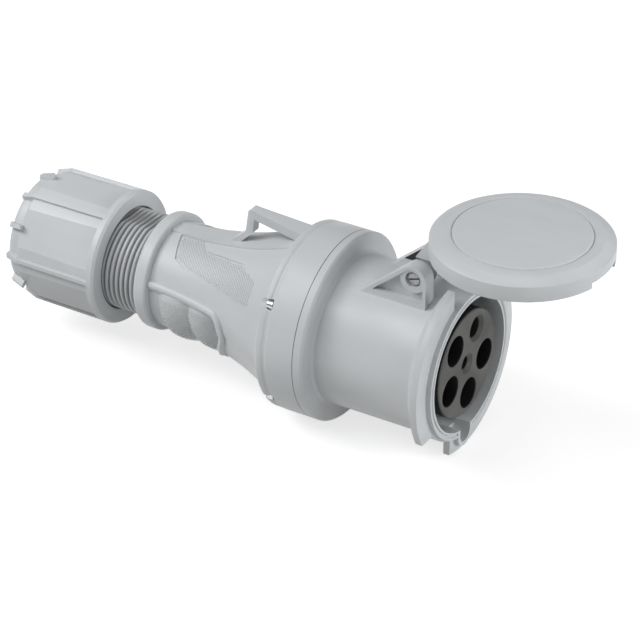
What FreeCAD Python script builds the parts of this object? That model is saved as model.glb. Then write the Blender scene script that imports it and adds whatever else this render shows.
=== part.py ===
"""Industrial power coupler: a five-pole cable connector with a pilot contact, hinged lid and cable gland.

The axis of the coupler is X. The rim of the mouth lies in the plane x = 0, the mouth opens towards +X,
and the hinge of the lid is at the top (+Z). The lid is drawn open, at a right angle to its closed place.
"""
import FreeCAD, Part
import os
import re
import Sketcher

doc = FreeCAD.newDocument("power_coupler")
sizes = doc.addObject("Spreadsheet::Sheet", "Sizes")
MATHS = ("cos", "sin", "tan", "atan", "asin", "sqrt", "deg")

# Driving sizes, in millimetres or degrees
# Mouth and sleeve of the front housing
mouth_radius = 36.0
mouth_wall = 3.8
sleeve_length = 68.3
channel_depth = 64.0
lip_width = 1.1
lip_groove_depth = 0.9
fillet_step = 1.4
# Collar that the closed lid meets: open at the top for the hinge, and low at the left of the keyway
collar_setback = 2.6
collar_height = 9.9
collar_thickness = 3.6
collar_bevel = 7.0
collar_edge = 0.3
collar_gap = 12.8
collar_drop = 25.5
collar_end = 14.1
collar_low = 1.5
# Keyway at the foot of the mouth, a little to the left
key_half_width = 5.0
key_offset = 2.75
key_depth = 2.3
key_run_out = 4.0
notch_depth = 8.0
notch_length = 9.0
notch_wall = 2.2
# Hinge ears and pin
hinge_rise = 10.8
pin_setback = 23.7
pin_radius = 2.7
pin_head_radius = 3.1
pin_head_length = 1.6
pin_sink = 1.2
pin_sink_radius = 4.35
pin_slot = 0.9
pin_slot_depth = 1.1
pin_slot_turn = 18
boss_radius = 7.5
boss_ring = 7.1
boss_sink = 0.5
ear_length = 30.5
ear_root = 5.0
ear_inner = 9.6
ear_thickness = 8.3
ear_recess = 3.2
ear_rim = 1.8
ear_sill = 4.2
hinge_play = 0.4
# Joint between the two housings
flange_height = 10.3
flange_wall = 3.6
flange_thickness = 5.2
edge_chamfer = 1.1
spigot_step = 5.6
spigot_wall = 4.0
spigot_length = 14.5
ring_length = 23.0
ring_bead = 4.2
ring_groove = 3.2
ring_round = 2.4
ring_groove_depth = 0.6
ring_bead_drop = 0.2
joint_clearance = 0.1
seal_section = 3.2
seal_place = 4.0
# Screws of the housing joint
joint_screw_radius = 1.7
joint_screw_head = 2.9
joint_screw_head_length = 3.2
joint_screw_pocket = 3.5
joint_screw_pocket_depth = 6.5
joint_screw_angle = 56
# Grip of the rear housing
grip_length = 77.7
grip_step = 4.7
grip_rear_radius = 28.0
flare_radius = 175
grip_wall = 4.2
strip_rise = 0.4
strip_front_drop = 0.8
strip_half_width = 4.8
strip_front_half_width = 11.8
ridge_level = 4.8
ridge_fall = 1.8
ridge_height = 0.9
ridge_half_width = 1.7
finger_drop = 2.0
finger_start = 6.0
finger_pitch = 18.5
finger_radius = 17.5
finger_growth = 0.6
finger_front = 28.2
finger_belly = 7.0
finger_corner = 3.0
finger_front_depth = 3.0
finger_foot = 36.5
# Textured panel on each side of the grip
panel_depth = 0.7
panel_turn = 45
panel_rear = 71.0
panel_rear_level = 15.4
panel_notch = 51.0
panel_notch_level = 10.4
panel_front = 11.5
panel_front_level = 0.3
panel_foot_level = 13.9
panel_corner = 6.0
# Hanging loop
loop_rear = 31.6
loop_height = 52.8
loop_bar = 5.2
loop_leg = 3.4
loop_lean = 1.7
loop_kink = 39.5
loop_foot = 10.8
loop_sink = 2.0
loop_rear_half_width = 2.9
loop_front_half_width = 6.0
# Bead and gland thread of the rear housing
bead_width = 8.0
bead_height = 3.7
bead_round = 1.3
tab_half_width = 3.4
tab_length = 10.0
tab_height = 6.4
thread_radius = 25.6
thread_length = 39.8
thread_flat = 0.9
neck_radius = 20.0
neck_step = 3.0
seal_length = 14.0
seal_setback = 4.5
chamber_step = 2.0
thread_chamfer = 2.0
cable_radius = 14.0
# Gland nut and what it presses
nut_gap = 21.3
nut_length = 57.0
nut_radius = 34.5
nut_flat = 32.6
nut_taper = 0.3
nut_collar_height = 1.8
nut_collar_width = 5.0
nut_clearance = 2.2
nut_edge = 1.0
nut_mouth_step = 1.5
nut_floor = 5.0
nut_end = 8.0
nut_end_step = 2.2
nut_end_depth = 0.8
nut_end_drop = 1.4
nut_tooth_drop = 2.6
nut_rib_width = 3.0
nut_rib_height = 1.9
nut_tooth_width = 3.4
nut_ribs = 6
nut_clock = 28.5
ring_section = 6.5
ring_clearance = 0.35
ring_edge = 1.0
ring_mouth = 2.2
claw_flange = 4.0
claw_finger = 5.0
claw_wall = 3.6
claw_slot = 2.0
claw_step = 2.4
# Contact carrier
channel_width = 7.0
carrier_setback = 1.5
carrier_base = 3.0
carrier_shoulder = 2.2
carrier_clearance = 0.3
carrier_edge = 0.6
contact_circle = 18.4
earth_angle = 30
power_hole = 8.2
earth_hole = 7.2
pilot_hole = 5.6
hole_depth = 38.0
plate_thickness = 6.0
# Contacts
power_pin = 4.0
earth_pin = 5.0
pilot_pin = 3.0
sleeve_wall = 2.2
contact_setback = 22.0
pin_depth = 40.0
shoulder_height = 0.9
shoulder_length = 2.0
terminal_length = 20.0
wire_depth = 14.0
terminal_screw_radius = 2.2
terminal_screw_length = 4.5
# Screws of the carrier
carrier_screw_radius = 1.6
carrier_screw_head = 2.8
carrier_screw_head_length = 2.2
carrier_screw_length = 15.0
# Lid
lid_overhang = 5.6
lid_gap = 0.3
skirt_height = 8.7
skirt_wall = 2.6
lid_bevel = 5.5
lid_rise = 2.6
lid_disc = 34.2
lid_crown = 3.4
lid_underside = 5.2
lid_edge = 0.4
disc_groove = 0.7
disc_groove_depth = 0.3
lid_notch = 12.0
lid_notch_height = 3.3
knuckle_near = 5.2
knuckle_radius = 6.8
knuckle_clearance = 0.05
yoke_half_width = 10.8
yoke_rise = 9.2
yoke_rear = 2.4
yoke_front = 9.3
yoke_hold = 3.0
gasket_width = 5.4
# Lid spring
spring_radius = 3.8
spring_wire = 0.45
spring_pitch = 1.1
spring_turns = 2
spring_leg = 7.5
spring_gap = 0.5
spring_foot = 0.6

# How far a cutting solid runs past the face that it cuts
overcut = 1.0

# The sheet takes every size above under its own name
SIZES = {name: value for name, value in list(globals().items()) if isinstance(value, (int, float))}
for row, (name, value) in enumerate(SIZES.items(), 1):
    sizes.set("A%d" % row, name)
    sizes.set("B%d" % row, str(value))
    sizes.setAlias("B%d" % row, name)
doc.recompute()

# Places along the axis and radii that follow from the sizes
SLEEVE = "(mouth_radius + mouth_wall)"
COLLAR_REAR = "(-collar_setback - collar_thickness)"
SEAM = "(-sleeve_length - flange_thickness)"
FLANGE_REAR_WALL = "(-sleeve_length - flange_wall)"
SPIGOT_END = f"({SEAM} - spigot_length)"
FLANGE = f"({SLEEVE} + flange_height)"
SPIGOT = f"({FLANGE} - spigot_step)"
RING_REAR = f"({SEAM} - ring_length)"
GRIP_FRONT_RADIUS = f"({FLANGE} - grip_step)"
BEAD_FRONT = f"({RING_REAR} - grip_length)"
BEAD_REAR = f"({BEAD_FRONT} - bead_width)"
BEAD = "(grip_rear_radius + bead_height)"
THREAD_END = f"({BEAD_REAR} - thread_length)"
NUT_FRONT = f"({BEAD_REAR} - nut_gap)"
NUT_REAR = f"({NUT_FRONT} - nut_length)"
NUT_BORE = "(thread_radius + nut_clearance)"
SEAL_FRONT = f"({BEAD_REAR} - seal_setback)"
SEAL_REAR = f"({SEAL_FRONT} - seal_length)"
CHAMBER_REAR = f"({BEAD_FRONT} + chamber_step)"
PIN_X = "(-pin_setback)"
PIN_Z = f"({SLEEVE} + hinge_rise)"
EAR_BASE = f"({SLEEVE} - ear_root)"
EAR_OUTER = "(ear_inner + ear_thickness)"
BOSS_FACE = f"({EAR_OUTER} - boss_sink)"
CARRIER = "(mouth_radius - channel_width)"
CARRIER_SEAT = FLANGE_REAR_WALL
CARRIER_REAR = f"({CARRIER_SEAT} - carrier_base)"
PLATE_REAR = f"({CARRIER_REAR} - plate_thickness)"
LID = f"({SLEEVE} + lid_overhang)"
LID_X = f"({PIN_X} + {PIN_Z})"
LID_Z = f"({PIN_Z} - {PIN_X})"
SKIRT_FOOT = "(lid_gap - collar_setback)"
SKIRT_TOP = f"({SKIRT_FOOT} + skirt_height)"


def cell(text):
    """Spell out each size in a formula as a cell of the sheet."""
    def spelled(word):
        return word.group() if word.group() in MATHS else "Sizes." + word.group()
    return re.sub(r"[a-z]\w*", spelled, text)


def number(text):
    """The present value of a formula."""
    return float(sizes.evalExpression(cell(text)))


def bind(item, name, text):
    """Tie one property to a formula."""
    item.setExpression(name, cell(text))


def draw(sketch, corners):
    """Closed outline of (u, v) corners. A corner's third and fourth items bend the side that follows it:
    the radius, and 1 or -1 for a bulge to the left or right of the way round."""
    points = [FreeCAD.Vector(number(corner[0]), number(corner[1]), 0) for corner in corners]
    count = len(points)
    ends = []
    for index, corner in enumerate(corners):
        start = points[index]
        end = points[(index + 1) % count]
        if len(corner) == 2:
            sketch.addGeometry(Part.LineSegment(start, end), False)
            ends.append((1, 2))
            continue
        radius = number(corner[2])
        across = (end - start) * 0.5
        left = FreeCAD.Vector(-across.y, across.x, 0).normalize()
        centre = start + across - left * corner[3] * (radius ** 2 - across.Length ** 2) ** 0.5
        circle = Part.Circle(centre, FreeCAD.Vector(0, 0, 1), radius)
        first, last = (end, start) if corner[3] > 0 else (start, end)
        sketch.addGeometry(Part.ArcOfCircle(circle, circle.parameter(first), circle.parameter(last)), False)
        ends.append((2, 1) if corner[3] > 0 else (1, 2))
    for index in range(count):
        following = (index + 1) % count
        here = ends[index][1]
        there = ends[following][0]
        sketch.addConstraint(Sketcher.Constraint("Coincident", index, here, following, there))
    for index, corner in enumerate(corners):
        for kind, text in (("DistanceX", corner[0]), ("DistanceY", corner[1])):
            made = sketch.addConstraint(Sketcher.Constraint(kind, -1, 1, index, ends[index][0], number(text)))
            bind(sketch, "Constraints[%d]" % made, text)
        if len(corner) > 2:
            made = sketch.addConstraint(Sketcher.Constraint("Radius", index, number(corner[2])))
            bind(sketch, "Constraints[%d]" % made, corner[2])


def sketch_in(body, name, plane, corners):
    """A sketch on one of the body's own origin planes."""
    sketch = body.newObject("Sketcher::SketchObject", name)
    support = next(item for item in body.Origin.OriginFeatures if item.Role == plane)
    sketch.AttachmentSupport = [(support, "")]
    sketch.MapMode = "FlatFace"
    draw(sketch, corners)
    return sketch


def turned(name, corners, axis="H_Axis"):
    """A body turned from an outline in the XZ plane, about X (H_Axis) or Z (V_Axis)."""
    body = doc.addObject("PartDesign::Body", name)
    sketch = sketch_in(body, name + "_outline", "XZ_Plane", corners)
    spin = body.newObject("PartDesign::Revolution", name + "_spin")
    spin.Profile = sketch
    spin.ReferenceAxis = (sketch, [axis])
    spin.Angle = 360
    doc.recompute()
    return body


def padded(name, plane, corners, start, length):
    """A body padded from an outline on an origin plane, from start along the plane's normal.
    The normal of the XZ plane is -Y, that of the YZ plane is +X and that of the XY plane is +Z."""
    body = doc.addObject("PartDesign::Body", name)
    sketch = sketch_in(body, name + "_outline", plane, corners)
    bind(sketch, "AttachmentOffset.Base.z", start)
    pad = body.newObject("PartDesign::Pad", name + "_pad")
    pad.Profile = sketch
    bind(pad, "Length", length)
    doc.recompute()
    return body


def put(item, x, y, z, rotation=None):
    """Place an item by three formulas, turned as given."""
    if rotation is not None:
        item.Placement = FreeCAD.Placement(FreeCAD.Vector(0, 0, 0), rotation)
    for axis, text in zip("xyz", (x, y, z)):
        bind(item, "Placement.Base." + axis, text)
    return item


ALONG_X = FreeCAD.Rotation(FreeCAD.Vector(0, 1, 0), 90)
ALONG_Y = FreeCAD.Rotation(FreeCAD.Vector(1, 0, 0), -90)


def rod(name, radius, length, place, rotation=ALONG_X):
    """A cylinder that starts at a place and runs along +X, or along the given turn of +Z."""
    item = doc.addObject("Part::Cylinder", name)
    bind(item, "Radius", radius)
    bind(item, "Height", length)
    return put(item, *place, rotation)


def block(name, low, lengths):
    """A box from its lowest corner and its three lengths."""
    item = doc.addObject("Part::Box", name)
    for side, text in zip(("Length", "Width", "Height"), lengths):
        bind(item, side, text)
    return put(item, *low)


def joined(name, items):
    """One solid from several that meet."""
    item = doc.addObject("Part::MultiFuse", name)
    item.Shapes = items
    item.Refine = True
    doc.recompute()
    return item


def grouped(name, items):
    """Separate like solids in one node."""
    item = doc.addObject("Part::Compound", name)
    item.Links = items
    doc.recompute()
    return item


def cut(name, base, tools):
    """A solid less one or more others."""
    item = doc.addObject("Part::Cut", name)
    item.Base = base
    item.Tool = tools[0] if len(tools) == 1 else joined(name + "_tools", tools)
    item.Refine = True
    doc.recompute()
    return item


def common(name, first, second):
    """What two solids share."""
    item = doc.addObject("Part::Common", name)
    item.Base = first
    item.Tool = second
    doc.recompute()
    return item


def mirrored(name, source):
    """The same solid on the other side of the XZ plane."""
    item = doc.addObject("Part::Mirroring", name)
    item.Source = source
    item.Normal = FreeCAD.Vector(0, 1, 0)
    doc.recompute()
    return item


def around(angle, radius):
    """Y and Z of a point at an angle from the top, clockwise as seen from the mouth."""
    return f"({radius} * sin({angle} * 1deg))", f"({radius} * cos({angle} * 1deg))"


SCREW_ANGLES = (
    "joint_screw_angle",
    "(-joint_screw_angle)",
    "(180 - joint_screw_angle)",
    "(180 + joint_screw_angle)",
)
JOINT_SCREW_CIRCLE = f"(0.5 * ({SPIGOT} + {FLANGE}))"


def joint_screw_rods(name, radius, start, length):
    """One rod for each screw of the housing joint."""
    rods = []
    for index, angle in enumerate(SCREW_ANGLES):
        y, z = around(angle, JOINT_SCREW_CIRCLE)
        rods.append(rod("%s_%d" % (name, index + 1), radius, length, (start, y, z)))
    return rods


CARRIER_SCREW_CIRCLE = f"(0.5 * ({CARRIER} + carrier_shoulder + {SPIGOT} - spigot_wall))"
CARRIER_SCREW_ANGLES = ("(earth_angle + 36)", "(earth_angle + 156)", "(earth_angle + 276)")


def carrier_screw_rods(name, radius, start, length):
    """One rod for each screw of the carrier."""
    rods = []
    for index, angle in enumerate(CARRIER_SCREW_ANGLES):
        y, z = around(angle, CARRIER_SCREW_CIRCLE)
        rods.append(rod("%s_%d" % (name, index + 1), radius, length, (start, y, z)))
    return rods


# Front housing: sleeve with double lip, floor of the plug channel, flange and spigot with a seal groove
SEAL_GROOVE = f"({SEAM} - seal_place)"
mouth_shell = turned("mouth_shell", [
    ("0", "mouth_radius"),
    ("0", "mouth_radius + lip_width"),
    ("-lip_groove_depth", "mouth_radius + 1.3 * lip_width"),
    ("-lip_groove_depth", f"{SLEEVE} - 1.3 * lip_width"),
    ("0", f"{SLEEVE} - lip_width"),
    ("0", SLEEVE),
    ("-sleeve_length + fillet_step", SLEEVE),
    ("-sleeve_length", f"{SLEEVE} + fillet_step"),
    ("-sleeve_length", f"{FLANGE} - edge_chamfer"),
    ("-sleeve_length - edge_chamfer", FLANGE),
    (SEAM, FLANGE),
    (SEAM, SPIGOT),
    (SEAL_GROOVE, SPIGOT),
    (SEAL_GROOVE, f"{SPIGOT} - 0.6 * seal_section"),
    (f"{SEAL_GROOVE} - 1.2 * seal_section", f"{SPIGOT} - 0.6 * seal_section"),
    (f"{SEAL_GROOVE} - 1.2 * seal_section", SPIGOT),
    (SPIGOT_END, SPIGOT),
    (SPIGOT_END, f"{SPIGOT} - spigot_wall"),
    (FLANGE_REAR_WALL, f"{SPIGOT} - spigot_wall"),
    (FLANGE_REAR_WALL, f"{CARRIER} + carrier_clearance"),
    ("-channel_depth", f"{CARRIER} + carrier_clearance"),
    ("-channel_depth", "mouth_radius"),
])
COLLAR = f"({SLEEVE} + collar_height)"
COLLAR_ROOT = f"({SLEEVE} - 0.5 * mouth_wall)"
collar_ring = turned("collar_ring", [
    ("-collar_setback", COLLAR_ROOT),
    ("-collar_setback", f"{COLLAR} - collar_edge"),
    ("-collar_setback - collar_edge", COLLAR),
    (COLLAR_REAR, COLLAR),
    (f"{COLLAR_REAR} - collar_bevel", f"{SLEEVE} - collar_edge"),
    (f"{COLLAR_REAR} - collar_bevel", COLLAR_ROOT),
])
collar_space = f"({COLLAR} + 2)"
collar_depth = "(collar_setback + collar_thickness + collar_bevel + 2)"
collar_open = cut("collar_open", collar_ring, [
    block("collar_top_gap", (f"-{collar_depth}", "-collar_gap", "0"),
          (collar_depth, "2 * collar_gap", collar_space)),
    block("collar_foot_gap", (f"-{collar_depth}", f"-{collar_space}", f"-{collar_space}"),
          (collar_depth, f"{collar_space} - collar_end", f"{collar_space} - collar_drop")),
    block("collar_foot_relief", (f"-{collar_depth}", f"-{collar_space}", f"-{collar_space}"),
          (f"{collar_depth} + {COLLAR_REAR}", f"{collar_space} + collar_end", f"{collar_space} - {SLEEVE}")),
])
LOW_RING = f"({SLEEVE} + collar_low)"
low_ring = turned("low_ring", [
    ("-collar_setback", COLLAR_ROOT),
    ("-collar_setback", LOW_RING),
    (COLLAR_REAR, LOW_RING),
    (f"{COLLAR_REAR} - collar_low", COLLAR_ROOT),
])
low_sector = common("low_sector", low_ring, block("low_space", (
    f"-{collar_depth}", f"-{collar_space}", f"-{collar_space}"), (collar_depth, collar_space, collar_space)))
# Keyway: a slot along the channel that opens into a deep notch, with a thin lip round the notch
NOTCH_FLOOR = "(-mouth_radius - notch_depth)"
KEY_LEFT = "(-key_offset - key_half_width)"
KEY_RIGHT = "(key_half_width - key_offset)"
NOTCH_CENTRE = f"({NOTCH_FLOOR} + key_half_width)"
NOTCH_ROUND = "(key_half_width + notch_wall)"
notch_shell = padded("notch_shell", "YZ_Plane", [
    (f"{KEY_LEFT} - notch_wall", f"-{SLEEVE} + mouth_wall"),
    (f"{KEY_LEFT} - notch_wall", NOTCH_CENTRE, NOTCH_ROUND, -1),
    ("-key_offset", f"{NOTCH_FLOOR} - notch_wall", NOTCH_ROUND, -1),
    (f"{KEY_RIGHT} + notch_wall", NOTCH_CENTRE),
    (f"{KEY_RIGHT} + notch_wall", f"-{SLEEVE} + mouth_wall"),
], "-notch_length - notch_wall", "notch_length + notch_wall")

# Hinge ears: a sloped web that rises to a boss, with a recessed outer face
EAR_RISE = f"({PIN_Z} - {EAR_BASE})"
EAR_DIAGONAL = f"sqrt(ear_length * ear_length + {EAR_RISE} * {EAR_RISE})"
EAR_SLOPE = f"(atan({EAR_RISE} / ear_length) + asin(boss_radius / {EAR_DIAGONAL}))"
EAR_FRONT = f"({PIN_X} + boss_radius)"


def ear_outline(rim, sill):
    """Side of an ear, drawn in by a rim and by a sill along its foot."""
    radius = f"(boss_radius - {rim})"
    tip = f"({rim} + {sill} * cos({EAR_SLOPE})) / sin({EAR_SLOPE})"
    return [
        (f"{PIN_X} - ear_length + {tip}", f"{EAR_BASE} + {sill}"),
        (f"{PIN_X} - {radius} * sin({EAR_SLOPE})", f"{PIN_Z} + {radius} * cos({EAR_SLOPE})", radius, 1),
        (f"{PIN_X} + {radius}", PIN_Z),
        (f"{PIN_X} + {radius}", f"{EAR_BASE} + {sill}"),
    ]


def ear(name, start, recess_start, sink_start):
    """One ear, hollowed on its outer face, with a ring round the pin that stands a little below the rim."""
    web = padded(name + "_web", "XZ_Plane", ear_outline("0", "0"), start, "ear_thickness")
    inside = ear_outline("ear_rim", "ear_sill")
    hollow = padded(name + "_hollow", "XZ_Plane", inside, recess_start, "ear_recess")
    sink = padded(name + "_sink", "XZ_Plane", inside, sink_start, "boss_sink")
    ring = rod(name + "_ring", "boss_ring", f"2 * {EAR_OUTER}", (PIN_X, f"-{EAR_OUTER}", PIN_Z), ALONG_Y)
    return cut(name, web, [cut(name + "_recess", hollow, [ring]), sink])


near_ear = ear("near_ear", "ear_inner", f"{EAR_OUTER} - ear_recess", BOSS_FACE)
far_ear = ear("far_ear", f"-{EAR_OUTER}", f"-{EAR_OUTER}", f"-{EAR_OUTER}")
pin_hole = rod("pin_hole", "pin_radius", f"2 * {EAR_OUTER} + 2 * overcut",
               (PIN_X, f"-{EAR_OUTER} - overcut", PIN_Z), ALONG_Y)
head_hole = rod("head_hole", "pin_sink_radius", "boss_sink + pin_sink + pin_head_length + overcut",
                (PIN_X, f"-{EAR_OUTER} - overcut", PIN_Z), ALONG_Y)
key_slot = block("key_slot", ("-channel_depth + key_run_out", KEY_LEFT, "-mouth_radius - key_depth"),
                 ("channel_depth", "2 * key_half_width", "key_depth + mouth_wall"))
key_notch = padded("key_notch", "YZ_Plane", [
    (KEY_LEFT, f"-{SLEEVE} + mouth_wall + overcut"),
    (KEY_LEFT, NOTCH_CENTRE, "key_half_width", -1),
    ("-key_offset", NOTCH_FLOOR, "key_half_width", -1),
    (KEY_RIGHT, NOTCH_CENTRE),
    (KEY_RIGHT, f"-{SLEEVE} + mouth_wall + overcut"),
], "-notch_length", "notch_length + overcut")
front_holes = joint_screw_rods("front_hole", "joint_screw_radius", f"{SEAM} - overcut", "flange_wall + overcut")
FLOOR_HOLE = "(carrier_screw_length - carrier_base - plate_thickness + carrier_clearance + overcut)"
floor_holes = carrier_screw_rods("floor_hole", "carrier_screw_radius", f"{CARRIER_SEAT} - overcut", FLOOR_HOLE)
front_body = joined("front_body", [mouth_shell, collar_open, low_sector, notch_shell, near_ear, far_ear])
front_housing = cut("front_housing", front_body,
                    [pin_hole, head_hole, key_slot, key_notch] + front_holes + floor_holes)

# Rear housing: flange ring with a bead, flared grip, collar bead and the plain core of the gland thread
grip_side = [
    (RING_REAR, GRIP_FRONT_RADIUS, "flare_radius", 1),
    (BEAD_FRONT, "grip_rear_radius"),
]
rear_solid = turned("rear_solid", [
    (SEAM, "0"),
    (SEAM, FLANGE),
    (f"{RING_REAR} + ring_bead + ring_groove", FLANGE),
    (f"{RING_REAR} + ring_bead + 0.7 * ring_groove", f"{FLANGE} - ring_groove_depth"),
    (f"{RING_REAR} + ring_bead + 0.3 * ring_groove", f"{FLANGE} - ring_groove_depth"),
    (f"{RING_REAR} + ring_bead", f"{FLANGE} - ring_bead_drop"),
    (f"{RING_REAR} + ring_round", f"{FLANGE} - ring_bead_drop", "ring_round", -1),
    (RING_REAR, f"{FLANGE} - ring_bead_drop - ring_round"),
    *grip_side,
    (BEAD_FRONT, f"{BEAD} - bead_round", "bead_round", -1),
    (f"{BEAD_FRONT} - bead_round", BEAD),
    (f"{BEAD_REAR} + 2 * bead_round", BEAD, "2 * bead_round", -1),
    (BEAD_REAR, f"{BEAD} - 2 * bead_round"),
    (BEAD_REAR, "thread_radius"),
    (f"{THREAD_END} + thread_chamfer", "thread_radius"),
    (THREAD_END, "thread_radius - thread_chamfer"),
    (THREAD_END, "0"),
])
ridge_solid = turned("ridge_solid", [
    (RING_REAR, "1"),
    (RING_REAR, f"{GRIP_FRONT_RADIUS} + ridge_height", "flare_radius", 1),
    (BEAD_FRONT, "grip_rear_radius + ridge_height"),
    (BEAD_FRONT, "1"),
])
# Underside of the grip: two finger bumps, set a little below the axis of the coupler
FINGER_START = f"({BEAD_FRONT} + finger_start)"
FINGER_FRONT = f"({RING_REAR} - finger_front)"
FINGER_FOOT = f"({RING_REAR} - finger_foot)"
FINGER_BASE = "(grip_rear_radius - finger_growth)"
finger_core = turned("finger_core", [
    (RING_REAR, "0"),
    (RING_REAR, f"{GRIP_FRONT_RADIUS} - finger_front_depth", "flare_radius", 1),
    (f"{FINGER_START} + 2 * finger_pitch", f"{FINGER_BASE} + 2 * finger_growth", "finger_radius", -1),
    (f"{FINGER_START} + finger_pitch", f"{FINGER_BASE} + finger_growth", "finger_radius", -1),
    (FINGER_START, FINGER_BASE),
    (BEAD_FRONT, FINGER_BASE),
    (BEAD_FRONT, "0"),
])
put(finger_core, "0", "0", "-finger_drop")
UNDER = f"(-{FLANGE} - 10)"


def finger_region(name, grow):
    """Side view of the finger grip, below the ridge, grown outwards by a formula."""
    return padded(name, "XZ_Plane", [
        (BEAD_FRONT, f"ridge_level + ridge_fall + {grow}"),
        (f"{FINGER_FRONT} - 2 * finger_corner + 0.4 * {grow}", f"ridge_level + {grow}"),
        (f"{FINGER_FRONT} - finger_corner + 0.8 * {grow}", f"ridge_level - finger_corner + 0.6 * {grow}"),
        (f"{FINGER_FRONT} + {grow}", "-finger_belly"),
        (f"{FINGER_FRONT} - finger_corner + {grow}", "-2 * finger_belly"),
        (f"{FINGER_FOOT} + {grow}", "-4 * finger_belly"),
        (f"{FINGER_FOOT} + {grow}", UNDER),
        (BEAD_FRONT, UNDER),
    ], UNDER, f"-2 * {UNDER}")


finger_space = finger_region("finger_space", "(-ridge_half_width)")
ridge_band = cut("ridge_band", finger_region("ridge_outside", "ridge_half_width"),
                 [finger_region("ridge_inside", "(-ridge_half_width)")])
ridge = common("ridge", ridge_solid, ridge_band)
fingers = common("fingers", finger_core, finger_space)
# Flat strip along the top of the grip, wider towards the flange ring
strip_side = padded("strip_side", "XZ_Plane", [
    (BEAD_FRONT, "grip_rear_radius - grip_wall + overcut"),
    (BEAD_FRONT, "grip_rear_radius + strip_rise", "flare_radius", -1),
    (RING_REAR, f"{GRIP_FRONT_RADIUS} - strip_front_drop"),
    (RING_REAR, f"{GRIP_FRONT_RADIUS} - grip_wall + overcut", "flare_radius", 1),
], f"-{FLANGE}", f"2 * {FLANGE}")
strip_plan = padded("strip_plan", "XY_Plane", [
    (BEAD_FRONT, "strip_half_width"),
    (BEAD_FRONT, "-strip_half_width"),
    (RING_REAR, "-strip_front_half_width"),
    (RING_REAR, "strip_front_half_width"),
], "0", FLANGE)
top_strip = common("top_strip", strip_side, strip_plan)
# Textured panel high on each side: a shallow recess that follows the flare
panel_shell = cut("panel_shell", turned("panel_outside", [
    (RING_REAR, "1"),
    (RING_REAR, f"{GRIP_FRONT_RADIUS} + 4", "flare_radius", 1),
    (BEAD_FRONT, "grip_rear_radius + 4"),
    (BEAD_FRONT, "1"),
]), [turned("panel_inside", [
    (f"{RING_REAR} + overcut", "0.5"),
    (f"{RING_REAR} + overcut", f"{GRIP_FRONT_RADIUS} - panel_depth"),
    (RING_REAR, f"{GRIP_FRONT_RADIUS} - panel_depth", "flare_radius", 1),
    (BEAD_FRONT, "grip_rear_radius - panel_depth"),
    (f"{BEAD_FRONT} - overcut", "grip_rear_radius - panel_depth"),
    (f"{BEAD_FRONT} - overcut", "0.5"),
])])
panel_outline = padded("panel_outline", "XZ_Plane", [
    (f"{RING_REAR} - panel_rear", "panel_rear_level"),
    (f"{RING_REAR} - panel_rear + panel_front_level + 4", "panel_front_level + 1.5"),
    (f"{RING_REAR} - panel_rear + 2 * panel_corner", "-0.4 * panel_corner"),
    (f"{RING_REAR} - panel_front", "-panel_foot_level"),
    (f"{RING_REAR} - panel_front", "panel_front_level"),
    (f"{RING_REAR} - panel_front - 2.2 * panel_corner", "0.8 * panel_notch_level"),
    (f"{RING_REAR} - panel_notch", "panel_notch_level"),
    (f"{RING_REAR} - panel_notch - 0.7 * panel_corner", "panel_rear_level"),
], "0", f"{FLANGE} + 10")
panel_outline.Placement = FreeCAD.Placement(
    FreeCAD.Vector(0, 0, 0), FreeCAD.Rotation(FreeCAD.Vector(1, 0, 0), -number("panel_turn")))
near_panel = common("near_panel", panel_shell, panel_outline)
far_panel = mirrored("far_panel", near_panel)
# Hanging loop: a bent leg on the grip and a bar that widens to the flange ring
LOOP_TOP = f"({RING_REAR} - loop_rear)"
LOOP_KINK = f"({LOOP_TOP} - loop_lean)"
LOOP_FOOT = f"({LOOP_KINK} - loop_foot)"
LOOP_BASE = "(grip_rear_radius + strip_rise + loop_sink)"
LOOP_END = f"({RING_REAR} + 0.6 * ring_bead)"
loop_side = padded("loop_side", "XZ_Plane", [
    (LOOP_FOOT, LOOP_BASE),
    (LOOP_KINK, "loop_kink"),
    (LOOP_TOP, "loop_height - 0.2 * loop_bar"),
    (f"{LOOP_TOP} + 0.2 * loop_bar", "loop_height"),
    (LOOP_END, f"{FLANGE} - edge_chamfer"),
    (LOOP_END, f"{FLANGE} - edge_chamfer - loop_bar"),
    (f"{LOOP_TOP} + loop_leg", "loop_height - loop_bar"),
    (f"{LOOP_KINK} + 1.2 * loop_leg", "loop_kink"),
    (f"{LOOP_FOOT} + 1.7 * loop_leg", LOOP_BASE),
], "-loop_front_half_width", "2 * loop_front_half_width")
loop_trim = padded("loop_trim", "XY_Plane", [
    (f"{LOOP_FOOT} - loop_leg", "loop_rear_half_width"),
    (f"{LOOP_TOP} + loop_leg", "loop_rear_half_width"),
    (f"{LOOP_END} + loop_leg", "loop_front_half_width"),
    (f"{LOOP_END} + loop_leg", "2 * loop_front_half_width"),
    (f"{LOOP_FOOT} - loop_leg", "2 * loop_front_half_width"),
], "0", "loop_height + loop_bar")
loop = cut("loop", loop_side, [loop_trim, mirrored("loop_trim_far", loop_trim)])
bead_tab = block("bead_tab",
                 (f"{BEAD_FRONT} - 0.5 * bead_width", "-tab_half_width", "-grip_rear_radius - tab_height"),
                 ("tab_length", "2 * tab_half_width", "tab_height + 0.5 * grip_wall"))
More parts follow.
